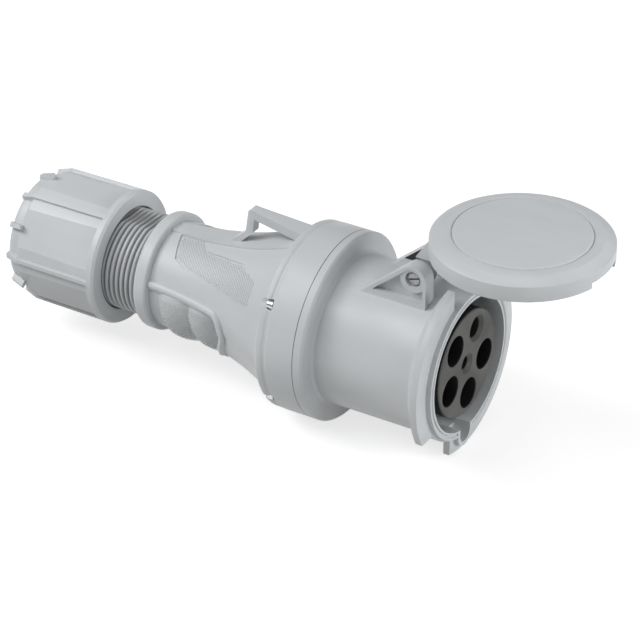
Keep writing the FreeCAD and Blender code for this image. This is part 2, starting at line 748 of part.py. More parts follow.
# Inside of the rear housing: seat of the spigot, wiring chamber, seat of the cable seal
rear_space = turned("rear_space", [
    (f"{SEAM} + overcut", "0"),
    (f"{SEAM} + overcut", f"{SPIGOT} + joint_clearance"),
    (f"{SPIGOT_END} - joint_clearance", f"{SPIGOT} + joint_clearance"),
    (f"{SPIGOT_END} - joint_clearance", f"{SPIGOT} - 0.75 * spigot_wall", "flare_radius", 1),
    (CHAMBER_REAR, "grip_rear_radius - 1.3 * grip_wall"),
    (CHAMBER_REAR, "neck_radius - neck_step"),
    (SEAL_FRONT, "neck_radius - neck_step"),
    (SEAL_FRONT, "neck_radius"),
    (f"{THREAD_END} - overcut", "neck_radius"),
    (f"{THREAD_END} - overcut", "0"),
])
FLAT_LEVEL = "(thread_radius - thread_flat)"
FLAT_START = f"({THREAD_END} - overcut)"
flat_lengths = (f"{BEAD_REAR} - {FLAT_START}", "2 * thread_radius", "thread_flat + overcut")
thread_flats = [
    block("thread_flat_top", (FLAT_START, "-thread_radius", FLAT_LEVEL), flat_lengths),
    block("thread_flat_foot", (FLAT_START, "-thread_radius", "-thread_radius - overcut"), flat_lengths),
]
screw_pockets = joint_screw_rods("screw_pocket", "joint_screw_pocket", f"{RING_REAR} - 12",
                                 "joint_screw_pocket_depth + 12")
rear_holes = joint_screw_rods("rear_hole", "joint_screw_radius + joint_clearance",
                              RING_REAR, "ring_length + overcut")
grip_less = cut("grip_less", rear_solid, [finger_space, near_panel, far_panel])
rear_body = joined("rear_body", [grip_less, fingers, ridge, top_strip, loop, bead_tab])
rear_housing = cut("rear_housing", rear_body, [rear_space] + thread_flats + screw_pockets + rear_holes)

# Rubber ring in the groove of the spigot
housing_seal = turned("housing_seal", [
    (f"{SEAL_GROOVE} - 0.1 * seal_section", f"{SPIGOT} - 0.6 * seal_section"),
    (f"{SEAL_GROOVE} - 0.1 * seal_section", f"{SPIGOT} + joint_clearance"),
    (f"{SEAL_GROOVE} - 1.1 * seal_section", f"{SPIGOT} + joint_clearance"),
    (f"{SEAL_GROOVE} - 1.1 * seal_section", f"{SPIGOT} - 0.6 * seal_section"),
])

# Screws that hold the housings together, heads in the pockets of the flange ring
POCKET_FLOOR = f"({RING_REAR} + joint_screw_pocket_depth)"
screw_heads = joint_screw_rods("screw_head", "joint_screw_head", f"{POCKET_FLOOR} - joint_screw_head_length",
                               "joint_screw_head_length")
screw_shanks = joint_screw_rods("screw_shank", "joint_screw_radius", f"{POCKET_FLOOR} - overcut",
                                f"{SEAM} - {POCKET_FLOOR} + overcut + 0.6 * flange_thickness")
housing_screws = grouped("housing_screws", [
    joined("housing_screw_%d" % (index + 1), [head, shank])
    for index, (head, shank) in enumerate(zip(screw_heads, screw_shanks))
])

# Contacts: name, hole in the carrier, pin, and place round the circle
POLES = (
    ("earth_contact", "earth_hole", "earth_pin", "contact_circle", "earth_angle"),
    ("phase_contact_1", "power_hole", "power_pin", "contact_circle", "(earth_angle + 72)"),
    ("phase_contact_2", "power_hole", "power_pin", "contact_circle", "(earth_angle + 144)"),
    ("phase_contact_3", "power_hole", "power_pin", "contact_circle", "(earth_angle + 216)"),
    ("neutral_contact", "power_hole", "power_pin", "contact_circle", "(earth_angle + 288)"),
    ("pilot_contact", "pilot_hole", "pilot_pin", "0", "(earth_angle + 36)"),
)
TERMINAL_REAR = f"({PLATE_REAR} - terminal_length)"
TERMINAL_SCREW_X = f"({TERMINAL_REAR} + 0.5 * wire_depth)"
SHOULDER_REAR = f"({CARRIER_REAR} - shoulder_length)"


# Contact carrier: a moulded plug with a stepped hole for every contact, and the plate that closes its rear
SHOULDER = f"({CARRIER} + carrier_shoulder)"
PLATE = f"({SPIGOT} - spigot_wall - carrier_clearance)"
carrier_solid = turned("carrier_solid", [
    ("-carrier_setback", "0"),
    ("-carrier_setback", f"{CARRIER} - carrier_edge"),
    ("-carrier_setback - carrier_edge", CARRIER),
    (CARRIER_SEAT, CARRIER),
    (CARRIER_SEAT, SHOULDER),
    (CARRIER_REAR, SHOULDER),
    (CARRIER_REAR, "0"),
])
plate_solid = turned("plate_solid", [
    (CARRIER_REAR, "0"),
    (CARRIER_REAR, f"{SHOULDER} + carrier_clearance"),
    (CARRIER_SEAT, f"{SHOULDER} + carrier_clearance"),
    (CARRIER_SEAT, PLATE),
    (PLATE_REAR, PLATE),
    (PLATE_REAR, "0"),
])
carrier_tools = []
plate_tools = carrier_screw_rods("plate_hole", "carrier_screw_radius + joint_clearance",
                                 f"{PLATE_REAR} - overcut", "plate_thickness + carrier_base + 2 * overcut")
contacts = []
terminal_screws = []
for node, hole, pin, circle, angle in POLES:
    y, z = around(angle, circle)
    outside = f"({pin} + sleeve_wall)"
    snug = f"({outside} + joint_clearance)"
    carrier_tools.append(rod(node + "_mouth", hole, "hole_depth + overcut", ("-carrier_setback - hole_depth", y, z)))
    carrier_tools.append(rod(node + "_seat", snug, f"joint_clearance - contact_setback - {CARRIER_REAR} + overcut",
                             (f"{CARRIER_REAR} - overcut", y, z)))
    plate_tools.append(rod(node + "_pocket", f"{snug} + shoulder_height",
                           "shoulder_length + joint_clearance + overcut",
                           (f"{SHOULDER_REAR} - joint_clearance", y, z)))
    plate_tools.append(rod(node + "_way", snug, "plate_thickness + 2 * overcut",
                           (f"{PLATE_REAR} - overcut", y, z)))
    sleeve = rod(node + "_sleeve", outside, f"-contact_setback - {TERMINAL_REAR}", (TERMINAL_REAR, y, z))
    shoulder = rod(node + "_shoulder", f"{outside} + shoulder_height", "shoulder_length", (SHOULDER_REAR, y, z))
    socket = rod(node + "_socket", pin, "pin_depth + overcut", ("-contact_setback - pin_depth", y, z))
    wire_hole = rod(node + "_wire", f"0.8 * {outside}", "wire_depth + overcut",
                    (f"{TERMINAL_REAR} - overcut", y, z))
    screw_y, screw_z = around(angle, f"({circle} + 0.75 * {outside})")
    outward = FreeCAD.Rotation(FreeCAD.Vector(1, 0, 0), -number(angle))
    screw_place = (TERMINAL_SCREW_X, screw_y, screw_z)
    screw_hole = rod(node + "_tap", "terminal_screw_radius", outside, screw_place, outward)
    blank = joined(node + "_blank", [sleeve, shoulder])
    contacts.append(cut(node, blank, [socket, wire_hole, screw_hole]))
    terminal_screws.append(rod(node + "_screw", "terminal_screw_radius", "terminal_screw_length",
                               screw_place, outward))
contact_carrier = cut("contact_carrier", carrier_solid, carrier_tools)
carrier_plate = cut("carrier_plate", plate_solid, plate_tools)
terminal_screw_set = grouped("terminal_screws", terminal_screws)
carrier_heads = carrier_screw_rods("carrier_head", "carrier_screw_head",
                                   f"{PLATE_REAR} - carrier_screw_head_length", "carrier_screw_head_length")
carrier_shanks = carrier_screw_rods("carrier_shank", "carrier_screw_radius", f"{PLATE_REAR} - overcut",
                                    "carrier_screw_length + overcut")
carrier_screws = grouped("carrier_screws", [
    joined("carrier_screw_%d" % (index + 1), [head, shank])
    for index, (head, shank) in enumerate(zip(carrier_heads, carrier_shanks))
])

# Hinge pin with a slotted head, sunk in the near ear
HEAD_Y = f"(pin_sink - {BOSS_FACE})"
pin_shank = rod("pin_shank", "pin_radius", f"{BOSS_FACE} - {HEAD_Y}", (PIN_X, HEAD_Y, PIN_Z), ALONG_Y)
pin_head = rod("pin_head", "pin_head_radius", "pin_head_length", (PIN_X, HEAD_Y, PIN_Z), ALONG_Y)


def slot_corner(along, across):
    """A corner of the pin's slot, turned about the pin."""
    reach = f"({along} * 2 * pin_head_radius)"
    half = f"({across} * 0.5 * pin_slot)"
    return (f"{PIN_X} + {reach} * cos(pin_slot_turn * 1deg) - {half} * sin(pin_slot_turn * 1deg)",
            f"{PIN_Z} + {reach} * sin(pin_slot_turn * 1deg) + {half} * cos(pin_slot_turn * 1deg)")


pin_groove = padded("pin_groove", "XZ_Plane", [
    slot_corner(-1, -1), slot_corner(1, -1), slot_corner(1, 1), slot_corner(-1, 1),
], f"-{HEAD_Y} - pin_slot_depth", "pin_slot_depth + overcut")
hinge_pin = cut("hinge_pin", joined("pin_blank", [pin_shank, pin_head]), [pin_groove])

# Lid: bevelled round cover with a skirt that is notched over the keyway, and a yoke down to the hinge pin
lid_cover = put(turned("lid_cover", [
    ("0", "lid_underside"),
    (f"{LID} - skirt_wall", "lid_underside"),
    (f"{LID} - skirt_wall", SKIRT_FOOT),
    (f"{LID} - lid_edge", SKIRT_FOOT),
    (LID, f"{SKIRT_FOOT} + lid_edge"),
    (LID, f"{SKIRT_TOP} - lid_edge"),
    (f"{LID} - lid_edge", SKIRT_TOP),
    (f"{LID} - lid_bevel", f"{SKIRT_TOP} + lid_rise"),
    ("lid_disc + disc_groove", f"{SKIRT_TOP} + lid_rise + disc_groove_depth"),
    ("lid_disc + 0.7 * disc_groove", f"{SKIRT_TOP} + lid_rise - disc_groove_depth"),
    ("lid_disc + 0.3 * disc_groove", f"{SKIRT_TOP} + lid_rise - disc_groove_depth"),
    ("lid_disc", f"{SKIRT_TOP} + lid_crown - disc_groove_depth"),
    ("lid_disc - disc_groove", f"{SKIRT_TOP} + lid_crown"),
    ("0", f"{SKIRT_TOP} + lid_crown"),
], "V_Axis"), LID_X, "0", LID_Z)
skirt_notch = block("skirt_notch", (LID_X, "-lid_notch", f"{LID_Z} + {SKIRT_FOOT} - overcut"),
                    (f"{LID} + 5", "2 * lid_notch", "lid_notch_height + overcut"))
LID_LEFT = f"({LID_X} - {LID})"
YOKE_X = f"({LID_LEFT} + lid_gap)"
YOKE_Z = f"({LID_Z} + {SKIRT_FOOT})"
KNUCKLE_FAR = "(ear_inner - hinge_play)"
KNUCKLE_LENGTH = f"(knuckle_near + {KNUCKLE_FAR})"
yoke = padded("yoke", "XZ_Plane", [
    (f"{PIN_X} - yoke_rear", f"{PIN_Z} + yoke_rise"),
    (YOKE_X, YOKE_Z),
    (YOKE_X, f"{YOKE_Z} + yoke_hold"),
    (f"{YOKE_X} + 1.5 * skirt_wall", f"{YOKE_Z} + yoke_hold"),
    (f"{YOKE_X} + 1.5 * skirt_wall", YOKE_Z),
    (f"{PIN_X} + yoke_front", f"{PIN_Z} + yoke_rise"),
], "-yoke_half_width", "2 * yoke_half_width")
knuckle_web = padded("knuckle_web", "XZ_Plane", [
    (f"{PIN_X} - 0.97 * knuckle_radius", PIN_Z),
    (f"{PIN_X} - 0.9 * yoke_rear", f"{PIN_Z} + 1.1 * yoke_rise"),
    (f"{PIN_X} + yoke_front", f"{PIN_Z} + 1.1 * yoke_rise"),
    (f"{PIN_X} + 0.97 * knuckle_radius", PIN_Z),
], f"-{KNUCKLE_FAR}", KNUCKLE_LENGTH)
knuckle = rod("knuckle", "knuckle_radius", KNUCKLE_LENGTH, (PIN_X, "-knuckle_near", PIN_Z), ALONG_Y)
knuckle_bore = rod("knuckle_bore", "pin_radius + knuckle_clearance", f"{KNUCKLE_LENGTH} + 2 * overcut",
                   (PIN_X, "-knuckle_near - overcut", PIN_Z), ALONG_Y)
lid_body = joined("lid_body", [lid_cover, yoke, knuckle_web, knuckle])
lid = cut("lid", lid_body, [skirt_notch, knuckle_bore])

# Rubber ring under the lid, over the double lip of the mouth
GASKET_MID = "(mouth_radius + 0.5 * mouth_wall)"
lid_gasket = put(turned("lid_gasket", [
    (f"{GASKET_MID} - 0.5 * gasket_width", "lid_gap"),
    (f"{GASKET_MID} + 0.5 * gasket_width", "lid_gap"),
    (f"{GASKET_MID} + 0.5 * gasket_width", "lid_underside"),
    (f"{GASKET_MID} - 0.5 * gasket_width", "lid_underside"),
], "V_Axis"), LID_X, "0", LID_Z)

# Lid spring: a wire coil on the pin beside the knuckle, with legs down to the sleeve and up behind the yoke
COIL_LENGTH = "(spring_pitch * spring_turns)"
COIL_Y = f"(-knuckle_near - spring_gap - spring_wire - {COIL_LENGTH})"
COIL_SIDE = f"({PIN_X} - spring_radius)"
coil_line = doc.addObject("Part::Helix", "coil_line")
bind(coil_line, "Pitch", "spring_pitch")
bind(coil_line, "Height", COIL_LENGTH)
bind(coil_line, "Radius", "spring_radius")
put(coil_line, PIN_X, COIL_Y, PIN_Z, ALONG_Y * FreeCAD.Rotation(FreeCAD.Vector(0, 0, 1), 180))
wire_section = doc.addObject("Part::RegularPolygon", "wire_section")
wire_section.Polygon = 8
bind(wire_section, "Circumradius", "spring_wire")
put(wire_section, COIL_SIDE, COIL_Y, PIN_Z)
coil = doc.addObject("Part::Sweep", "coil")
coil.Sections = [wire_section]
coil.Spine = (coil_line, ["Edge1"])
coil.Solid = True
coil.Frenet = True
doc.recompute()
UPRIGHT = FreeCAD.Rotation()
sleeve_leg = rod("sleeve_leg", "spring_wire", "hinge_rise + spring_foot",
                 (COIL_SIDE, COIL_Y, f"{PIN_Z} - hinge_rise - spring_foot"), UPRIGHT)
yoke_leg = rod("yoke_leg", "spring_wire", "spring_leg",
               (COIL_SIDE, f"{COIL_Y} + {COIL_LENGTH}", PIN_Z), UPRIGHT)
lid_spring = joined("lid_spring", [coil, sleeve_leg, yoke_leg])

# Gland: rubber cable seal, claw that grips the cable, and the ring that the nut presses on it
cable_seal = turned("cable_seal", [
    (SEAL_FRONT, "cable_radius"),
    (SEAL_FRONT, "neck_radius"),
    (SEAL_REAR, "neck_radius"),
    (SEAL_REAR, "cable_radius"),
])
CLAW_TIP = f"({THREAD_END} - claw_flange - claw_finger)"
claw_solid = turned("claw_solid", [
    (SEAL_REAR, "neck_radius - claw_wall"),
    (SEAL_REAR, "neck_radius - joint_clearance"),
    (THREAD_END, "neck_radius - joint_clearance"),
    (THREAD_END, "thread_radius - claw_step"),
    (f"{THREAD_END} - claw_flange", "thread_radius - claw_step"),
    (f"{THREAD_END} - claw_flange", "neck_radius"),
    (CLAW_TIP, "neck_radius - 0.4 * claw_wall"),
    (CLAW_TIP, "neck_radius - claw_wall"),
])
claw_slots = [
    block("claw_slot_%d" % (turn + 1), ("0", "0", "0"),
          ("claw_finger + 0.5 * claw_flange", "claw_slot", "4 * neck_radius"))
    for turn in range(4)
]
for turn, slot in enumerate(claw_slots):
    spin = FreeCAD.Rotation(FreeCAD.Vector(1, 0, 0), 45 * turn)
    corner = spin.multVec(FreeCAD.Vector(0, -0.5 * number("claw_slot"), -2 * number("neck_radius")))
    slot.Placement = FreeCAD.Placement(corner, spin)
    bind(slot, "Placement.Base.x", CLAW_TIP)
clamp_claw = cut("clamp_claw", claw_solid, claw_slots)
NUT_SEAT = f"({NUT_REAR} + nut_floor)"
RING_FRONT = f"({NUT_SEAT} + ring_clearance + ring_section)"
pressure_ring = turned("pressure_ring", [
    (f"{NUT_SEAT} + ring_clearance", "neck_radius - claw_wall + ring_edge"),
    (f"{NUT_SEAT} + ring_clearance", f"{NUT_BORE} - ring_clearance - ring_edge"),
    (f"{NUT_SEAT} + ring_clearance + ring_edge", f"{NUT_BORE} - ring_clearance"),
    (RING_FRONT, f"{NUT_BORE} - ring_clearance"),
    (RING_FRONT, "neck_radius + ring_mouth"),
])

# Gland nut: collar ring, panels between long ribs, and a toothed cone at the rear
NUT_END = "(nut_flat - nut_end_depth)"
nut_turned = turned("nut_turned", [
    (NUT_FRONT, NUT_BORE),
    (NUT_FRONT, "nut_radius + nut_collar_height - nut_edge"),
    (f"{NUT_FRONT} - 1.4 * nut_edge", "nut_radius + nut_collar_height"),
    (f"{NUT_FRONT} - nut_collar_width + 0.6 * nut_edge", "nut_radius + nut_collar_height"),
    (f"{NUT_FRONT} - nut_collar_width", "nut_radius"),
    (f"{NUT_REAR} + nut_end", "nut_radius - nut_taper"),
    (f"{NUT_REAR} + nut_end - nut_end_step", NUT_END),
    (f"{NUT_REAR} + nut_end_step", f"{NUT_END} - 0.4 * nut_end_drop"),
    (NUT_REAR, f"{NUT_END} - nut_end_drop"),
    (NUT_REAR, "neck_radius - claw_wall + nut_mouth_step"),
    (NUT_SEAT, "neck_radius - claw_wall + nut_mouth_step"),
    (NUT_SEAT, NUT_BORE),
])
nut_hexagon = doc.addObject("Part::Prism", "nut_hexagon")
bind(nut_hexagon, "Polygon", "nut_ribs")
bind(nut_hexagon, "Circumradius", "nut_flat / cos(180deg / nut_ribs)")
bind(nut_hexagon, "Height", "nut_length - nut_collar_width")
put(nut_hexagon, NUT_REAR, "0", "0", ALONG_X)
nut_collar = rod("nut_collar", "nut_radius + nut_collar_height + overcut", "nut_collar_width",
                 (f"{NUT_FRONT} - nut_collar_width", "0", "0"))
nut_core = common("nut_core", nut_turned, joined("nut_envelope", [nut_hexagon, nut_collar]))


def rib_ring(name, turn, start, length, width, foot, top):
    """Ribs at equal steps round the nut: a sketch padded along the axis and repeated."""
    body = doc.addObject("PartDesign::Body", name)
    half = f"(0.5 * {width})"
    sketch = sketch_in(body, name + "_outline", "YZ_Plane", [
        (f"-{half}", foot),
        (half, foot),
        (f"0.7 * {half}", top),
        (f"-0.7 * {half}", top),
    ])
    bind(sketch, "AttachmentOffset.Base.z", start)
    pad = body.newObject("PartDesign::Pad", name + "_pad")
    pad.Profile = sketch
    bind(pad, "Length", length)
    doc.recompute()
    ring = body.newObject("PartDesign::PolarPattern", name + "_ring")
    ring.Originals = [pad]
    ring.Axis = (sketch, ["N_Axis"])
    ring.Angle = 360
    bind(ring, "Occurrences", "nut_ribs")
    body.Tip = ring
    body.Placement = FreeCAD.Placement(FreeCAD.Vector(0, 0, 0), FreeCAD.Rotation(FreeCAD.Vector(1, 0, 0), turn))
    doc.recompute()
    return body


RIB_FOOT = f"({NUT_END} - nut_end_drop - 1)"
RIB_TOP = "(nut_radius + nut_rib_height)"
TOOTH_LENGTH = "nut_end"
half_step = 180 / number("nut_ribs")
long_ribs = rib_ring("long_ribs", 0, NUT_REAR, "nut_length - 0.5 * nut_collar_width",
                     "nut_rib_width", RIB_FOOT, RIB_TOP)
end_teeth = rib_ring("end_teeth", 0, NUT_REAR, TOOTH_LENGTH, "nut_tooth_width", RIB_FOOT, RIB_TOP)
mid_teeth = rib_ring("mid_teeth", half_step, NUT_REAR, TOOTH_LENGTH, "nut_tooth_width", RIB_FOOT, RIB_TOP)
rib_trim = turned("rib_trim", [
    (f"{NUT_FRONT} + overcut", "1"),
    (f"{NUT_FRONT} + overcut", RIB_TOP),
    (f"{NUT_REAR} + nut_end", f"{RIB_TOP} - nut_taper"),
    (NUT_REAR, f"{RIB_TOP} - nut_taper - nut_tooth_drop"),
    (NUT_REAR, "1"),
])
rib_set = common("rib_set", joined("rib_blank", [long_ribs, end_teeth, mid_teeth]), rib_trim)
gland_nut = joined("gland_nut", [nut_core, rib_set])
nut_turn = FreeCAD.Rotation(FreeCAD.Vector(1, 0, 0), number("nut_clock"))
gland_nut.Placement = FreeCAD.Placement(FreeCAD.Vector(0, 0, 0), nut_turn)

NODES = {
    "rear_housing": rear_housing,
    "front_housing": front_housing,
    "housing_seal": housing_seal,
    "housing_screws": housing_screws,
    "contact_carrier": contact_carrier,
    "carrier_plate": carrier_plate,
    "carrier_screws": carrier_screws,
    "terminal_screws": terminal_screw_set,
    "hinge_pin": hinge_pin,
    "lid": lid,
    "lid_gasket": lid_gasket,
    "lid_spring": lid_spring,
    "cable_seal": cable_seal,
    "clamp_claw": clamp_claw,
    "pressure_ring": pressure_ring,
    "gland_nut": gland_nut,
}
for pole, contact in zip(POLES, contacts):
    NODES[pole[0]] = contact

doc.recompute()
for item in doc.Objects:
    if "Invalid" in item.State or "Error" in item.State:
        raise RuntimeError("%s did not build: %s" % (item.Name, item.State))
for node, item in NODES.items():
    if item.Shape.isNull() or not item.Shape.isValid():
        raise RuntimeError("%s has no valid shape" % node)
os.makedirs("parts", exist_ok=True)
for node, item in NODES.items():
    item.Label = node
    item.Shape.exportStep("parts/%s.step" % node)
    box = item.Shape.BoundBox
    print("%-16s solids %d  x %.1f..%.1f  y %.1f..%.1f  z %.1f..%.1f" % (
        node, len(item.Shape.Solids), box.XMin, box.XMax, box.YMin, box.YMax, box.ZMin, box.ZMax))
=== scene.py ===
import bmesh
import bpy
import math
from mathutils import Matrix, Vector


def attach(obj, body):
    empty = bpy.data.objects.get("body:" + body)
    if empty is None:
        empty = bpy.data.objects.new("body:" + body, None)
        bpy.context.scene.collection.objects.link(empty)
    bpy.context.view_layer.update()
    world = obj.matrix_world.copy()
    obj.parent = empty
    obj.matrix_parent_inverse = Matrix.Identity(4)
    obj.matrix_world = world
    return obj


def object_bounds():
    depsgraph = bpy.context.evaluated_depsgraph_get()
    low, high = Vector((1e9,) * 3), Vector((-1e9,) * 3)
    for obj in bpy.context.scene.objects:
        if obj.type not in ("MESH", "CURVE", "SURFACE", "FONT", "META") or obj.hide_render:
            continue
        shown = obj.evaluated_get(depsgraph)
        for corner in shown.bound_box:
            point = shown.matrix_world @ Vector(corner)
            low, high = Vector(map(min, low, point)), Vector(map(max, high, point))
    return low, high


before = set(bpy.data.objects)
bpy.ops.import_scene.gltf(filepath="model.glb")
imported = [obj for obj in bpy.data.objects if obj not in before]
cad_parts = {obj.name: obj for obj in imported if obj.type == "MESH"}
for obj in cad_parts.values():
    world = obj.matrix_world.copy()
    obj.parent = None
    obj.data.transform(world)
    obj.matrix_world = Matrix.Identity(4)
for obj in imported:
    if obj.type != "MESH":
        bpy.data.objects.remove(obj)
cad_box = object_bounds()
MM = 0.001

# Rear housing
# One injection moulding in pale grey polyamide: the flange ring, the flared hand grip, the hanging loop
# and the threaded neck. Its edges are softened by the mould, and its skin is finely spark-eroded.
HOUSING_GREY = (0.600, 0.622, 0.635, 1.0)
HOUSING_SHADE = (0.560, 0.582, 0.597, 1.0)
NECK_PAINTED_SHADE = (0.440, 0.455, 0.468, 1.0)
NECK_START = -184.0 * MM
NECK_FADE = 1.0 * MM
SEAM_PLACE = -73.5 * MM
SEAM_DARK = (0.075, 0.078, 0.082, 1.0)
SEAM_EDGE = 0.30 * MM
SEAM_CORE = 0.12 * MM
MOULD_EDGE = 0.45 * MM
SHARP_ANGLE = math.radians(20)
WELD_GAP = 0.002 * MM
CLOUD_SCALE = 45.0
CLOUD_DETAIL = 5.0
CLOUD_SPREAD = (0.35, 0.65)
FLOW_STRETCH = (0.35, 1.0, 1.0)
GRAIN_SCALE = 2200.0
GRAIN_DETAIL = 2.0
GRAIN_DEPTH = 0.05 * MM
GRAIN_STRENGTH = 0.25
MOULD_GLOSS = (0.38, 0.50)


def group_socket(tree, name, kind, way, value=None):
    """A named input or output of a node tree."""
    socket = tree.interface.new_socket(name, in_out=way, socket_type=kind)
    if value is not None:
        socket.default_value = value


def clean_shading_tree():
    """Smooth shading with crisp lines where two faces meet at more than a given angle."""
    tree = bpy.data.node_groups.new("clean_shading", "GeometryNodeTree")
    group_socket(tree, "Geometry", "NodeSocketGeometry", "INPUT")
    group_socket(tree, "Sharp Angle", "NodeSocketFloat", "INPUT", SHARP_ANGLE)
    group_socket(tree, "Geometry", "NodeSocketGeometry", "OUTPUT")
    nodes, links = tree.nodes, tree.links
    start = nodes.new("NodeGroupInput")
    end = nodes.new("NodeGroupOutput")
    plain = nodes.new("GeometryNodeRemoveAttribute")
    plain.inputs["Name"].default_value = "custom_normal"
    smooth = nodes.new("GeometryNodeSetShadeSmooth")
    smooth.domain = "FACE"
    crisp = nodes.new("GeometryNodeSetShadeSmooth")
    crisp.domain = "EDGE"
    angle = nodes.new("GeometryNodeInputMeshEdgeAngle")
    gentle = nodes.new("FunctionNodeCompare")
    gentle.operation = "LESS_THAN"
    links.new(start.outputs["Geometry"], plain.inputs["Geometry"])
    links.new(plain.outputs["Geometry"], smooth.inputs["Geometry"])
    links.new(smooth.outputs["Geometry"], crisp.inputs["Geometry"])
    links.new(angle.outputs["Unsigned Angle"], gentle.inputs[0])
    links.new(start.outputs["Sharp Angle"], gentle.inputs[1])
    links.new(gentle.outputs["Result"], crisp.inputs["Shade Smooth"])
    links.new(crisp.outputs["Geometry"], end.inputs["Geometry"])
    return tree


CLEAN_SHADING = clean_shading_tree()


def soften(piece, edge, crisp=SHARP_ANGLE):
    """Round the edges of a moulded or turned piece and shade its faces smoothly up to the crisp angle."""
    weld = piece.modifiers.new("weld", "WELD")
    weld.merge_threshold = WELD_GAP
    bevel = piece.modifiers.new("mould_edge", "BEVEL")
    bevel.width = edge
    bevel.segments = 2
    bevel.limit_method = "ANGLE"
    bevel.angle_limit = SHARP_ANGLE
    bevel.use_clamp_overlap = True
    shading = piece.modifiers.new("clean_shading", "NODES")
    shading.node_group = CLEAN_SHADING
    for socket in CLEAN_SHADING.interface.items_tree:
        if socket.name == "Sharp Angle":
            shading[socket.identifier] = crisp


def skin_tree(name, settings):
    """A shader group with named settings, which puts out a colour, a roughness and a height."""
    tree = bpy.data.node_groups.new(name, "ShaderNodeTree")
    for label, value in settings.items():
        kind = "NodeSocketColor" if isinstance(value, tuple) else "NodeSocketFloat"
        group_socket(tree, label, kind, "INPUT", value)
    group_socket(tree, "Colour", "NodeSocketColor", "OUTPUT")
    group_socket(tree, "Roughness", "NodeSocketFloat", "OUTPUT")
    group_socket(tree, "Height", "NodeSocketFloat", "OUTPUT")
    return tree


def close_skin(tree, start, second_colour, mask, height):
    """End a skin: a mask leads its colour over to the second one and its gloss from low to high."""
    nodes, links = tree.nodes, tree.links
    end = nodes.new("NodeGroupOutput")
    tint = nodes.new("ShaderNodeMix")
    tint.data_type = "RGBA"
    gloss = nodes.new("ShaderNodeMapRange")
    links.new(mask, tint.inputs["Factor"])
    links.new(start.outputs["Colour"], tint.inputs["A"])
    links.new(start.outputs[second_colour], tint.inputs["B"])
    links.new(mask, gloss.inputs["Value"])
    links.new(start.outputs["Gloss Low"], gloss.inputs["To Min"])
    links.new(start.outputs["Gloss High"], gloss.inputs["To Max"])
    links.new(tint.outputs["Result"], end.inputs["Colour"])
    links.new(gloss.outputs["Result"], end.inputs["Roughness"])
    links.new(height, end.inputs["Height"])


def moulded_skin_group():
    """Skin of a moulding: faint clouds drawn out along the piece, uneven gloss and a fine grain."""
    tree = skin_tree("moulded_skin", {
        "Colour": HOUSING_GREY, "Shade": HOUSING_SHADE, "Cloud Scale": CLOUD_SCALE, "Grain Scale": GRAIN_SCALE,
        "Gloss Low": MOULD_GLOSS[0], "Gloss High": MOULD_GLOSS[1]})
    nodes, links = tree.nodes, tree.links
    start = nodes.new("NodeGroupInput")
    place = nodes.new("ShaderNodeTexCoord")
    flow = nodes.new("ShaderNodeMapping")
    flow.inputs["Scale"].default_value = FLOW_STRETCH
    cloud = nodes.new("ShaderNodeTexNoise")
    cloud.inputs["Detail"].default_value = CLOUD_DETAIL
    grain = nodes.new("ShaderNodeTexNoise")
    grain.inputs["Detail"].default_value = GRAIN_DETAIL
    spread = nodes.new("ShaderNodeMapRange")
    spread.inputs["From Min"].default_value = CLOUD_SPREAD[0]
    spread.inputs["From Max"].default_value = CLOUD_SPREAD[1]
    links.new(place.outputs["Object"], flow.inputs["Vector"])
    links.new(flow.outputs["Vector"], cloud.inputs["Vector"])
    links.new(place.outputs["Object"], grain.inputs["Vector"])
    links.new(start.outputs["Cloud Scale"], cloud.inputs["Scale"])
    links.new(start.outputs["Grain Scale"], grain.inputs["Scale"])
    links.new(cloud.outputs["Fac"], spread.inputs["Value"])
    close_skin(tree, start, "Shade", spread.outputs["Result"], grain.outputs["Fac"])
    return tree


MOULDED_SKIN = moulded_skin_group()


def skinned(name, skin_group, settings, strength, depth):
    """A material whose colour, gloss and fine relief come from a skin with its own settings."""
    material = bpy.data.materials.new(name)
    material.use_nodes = True
    nodes, links = material.node_tree.nodes, material.node_tree.links
    shader = nodes["Principled BSDF"]
    skin = nodes.new("ShaderNodeGroup")
    skin.node_tree = skin_group
    for label, value in settings.items():
        skin.inputs[label].default_value = value
    bump = nodes.new("ShaderNodeBump")
    bump.inputs["Strength"].default_value = strength
    bump.inputs["Distance"].default_value = depth
    links.new(skin.outputs["Colour"], shader.inputs["Base Color"])
    links.new(skin.outputs["Roughness"], shader.inputs["Roughness"])
    links.new(skin.outputs["Height"], bump.inputs["Height"])
    links.new(bump.outputs["Normal"], shader.inputs["Normal"])
    return material


def moulded(name, colour, shade, grain_depth=GRAIN_DEPTH, gloss=MOULD_GLOSS, grain_scale=GRAIN_SCALE):
    """A moulded plastic or rubber with the skin of its mould."""
    settings = {"Colour": colour, "Shade": shade, "Gloss Low": gloss[0], "Gloss High": gloss[1],
                "Grain Scale": grain_scale}
    return skinned(name, MOULDED_SKIN, settings, GRAIN_STRENGTH, grain_depth)


def finish_node(node, material, edge, crisp=SHARP_ANGLE):
    """Give a CAD piece its material and softened edges."""
    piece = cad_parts[node]
    piece.data.materials.clear()
    piece.data.materials.append(material)
    soften(piece, edge, crisp)


def maths(tree, operation, first, second=0.0):
    """A sum in a node tree on two numbers, each plain or from a socket."""
    node = tree.nodes.new("ShaderNodeMath")
    node.operation = operation
    for socket, value in zip(node.inputs, (first, second)):
        if isinstance(value, (int, float)):
            socket.default_value = value
        else:
            tree.links.new(value, socket)
    return node.outputs[0]


def place_axes(material):
    """The X, Y and Z of a point on a piece, for what changes with its place."""
    nodes, links = material.node_tree.nodes, material.node_tree.links
    place = nodes.new("ShaderNodeTexCoord")
    axes = nodes.new("ShaderNodeSeparateXYZ")
    links.new(place.outputs["Object"], axes.inputs["Vector"])
    return axes.outputs


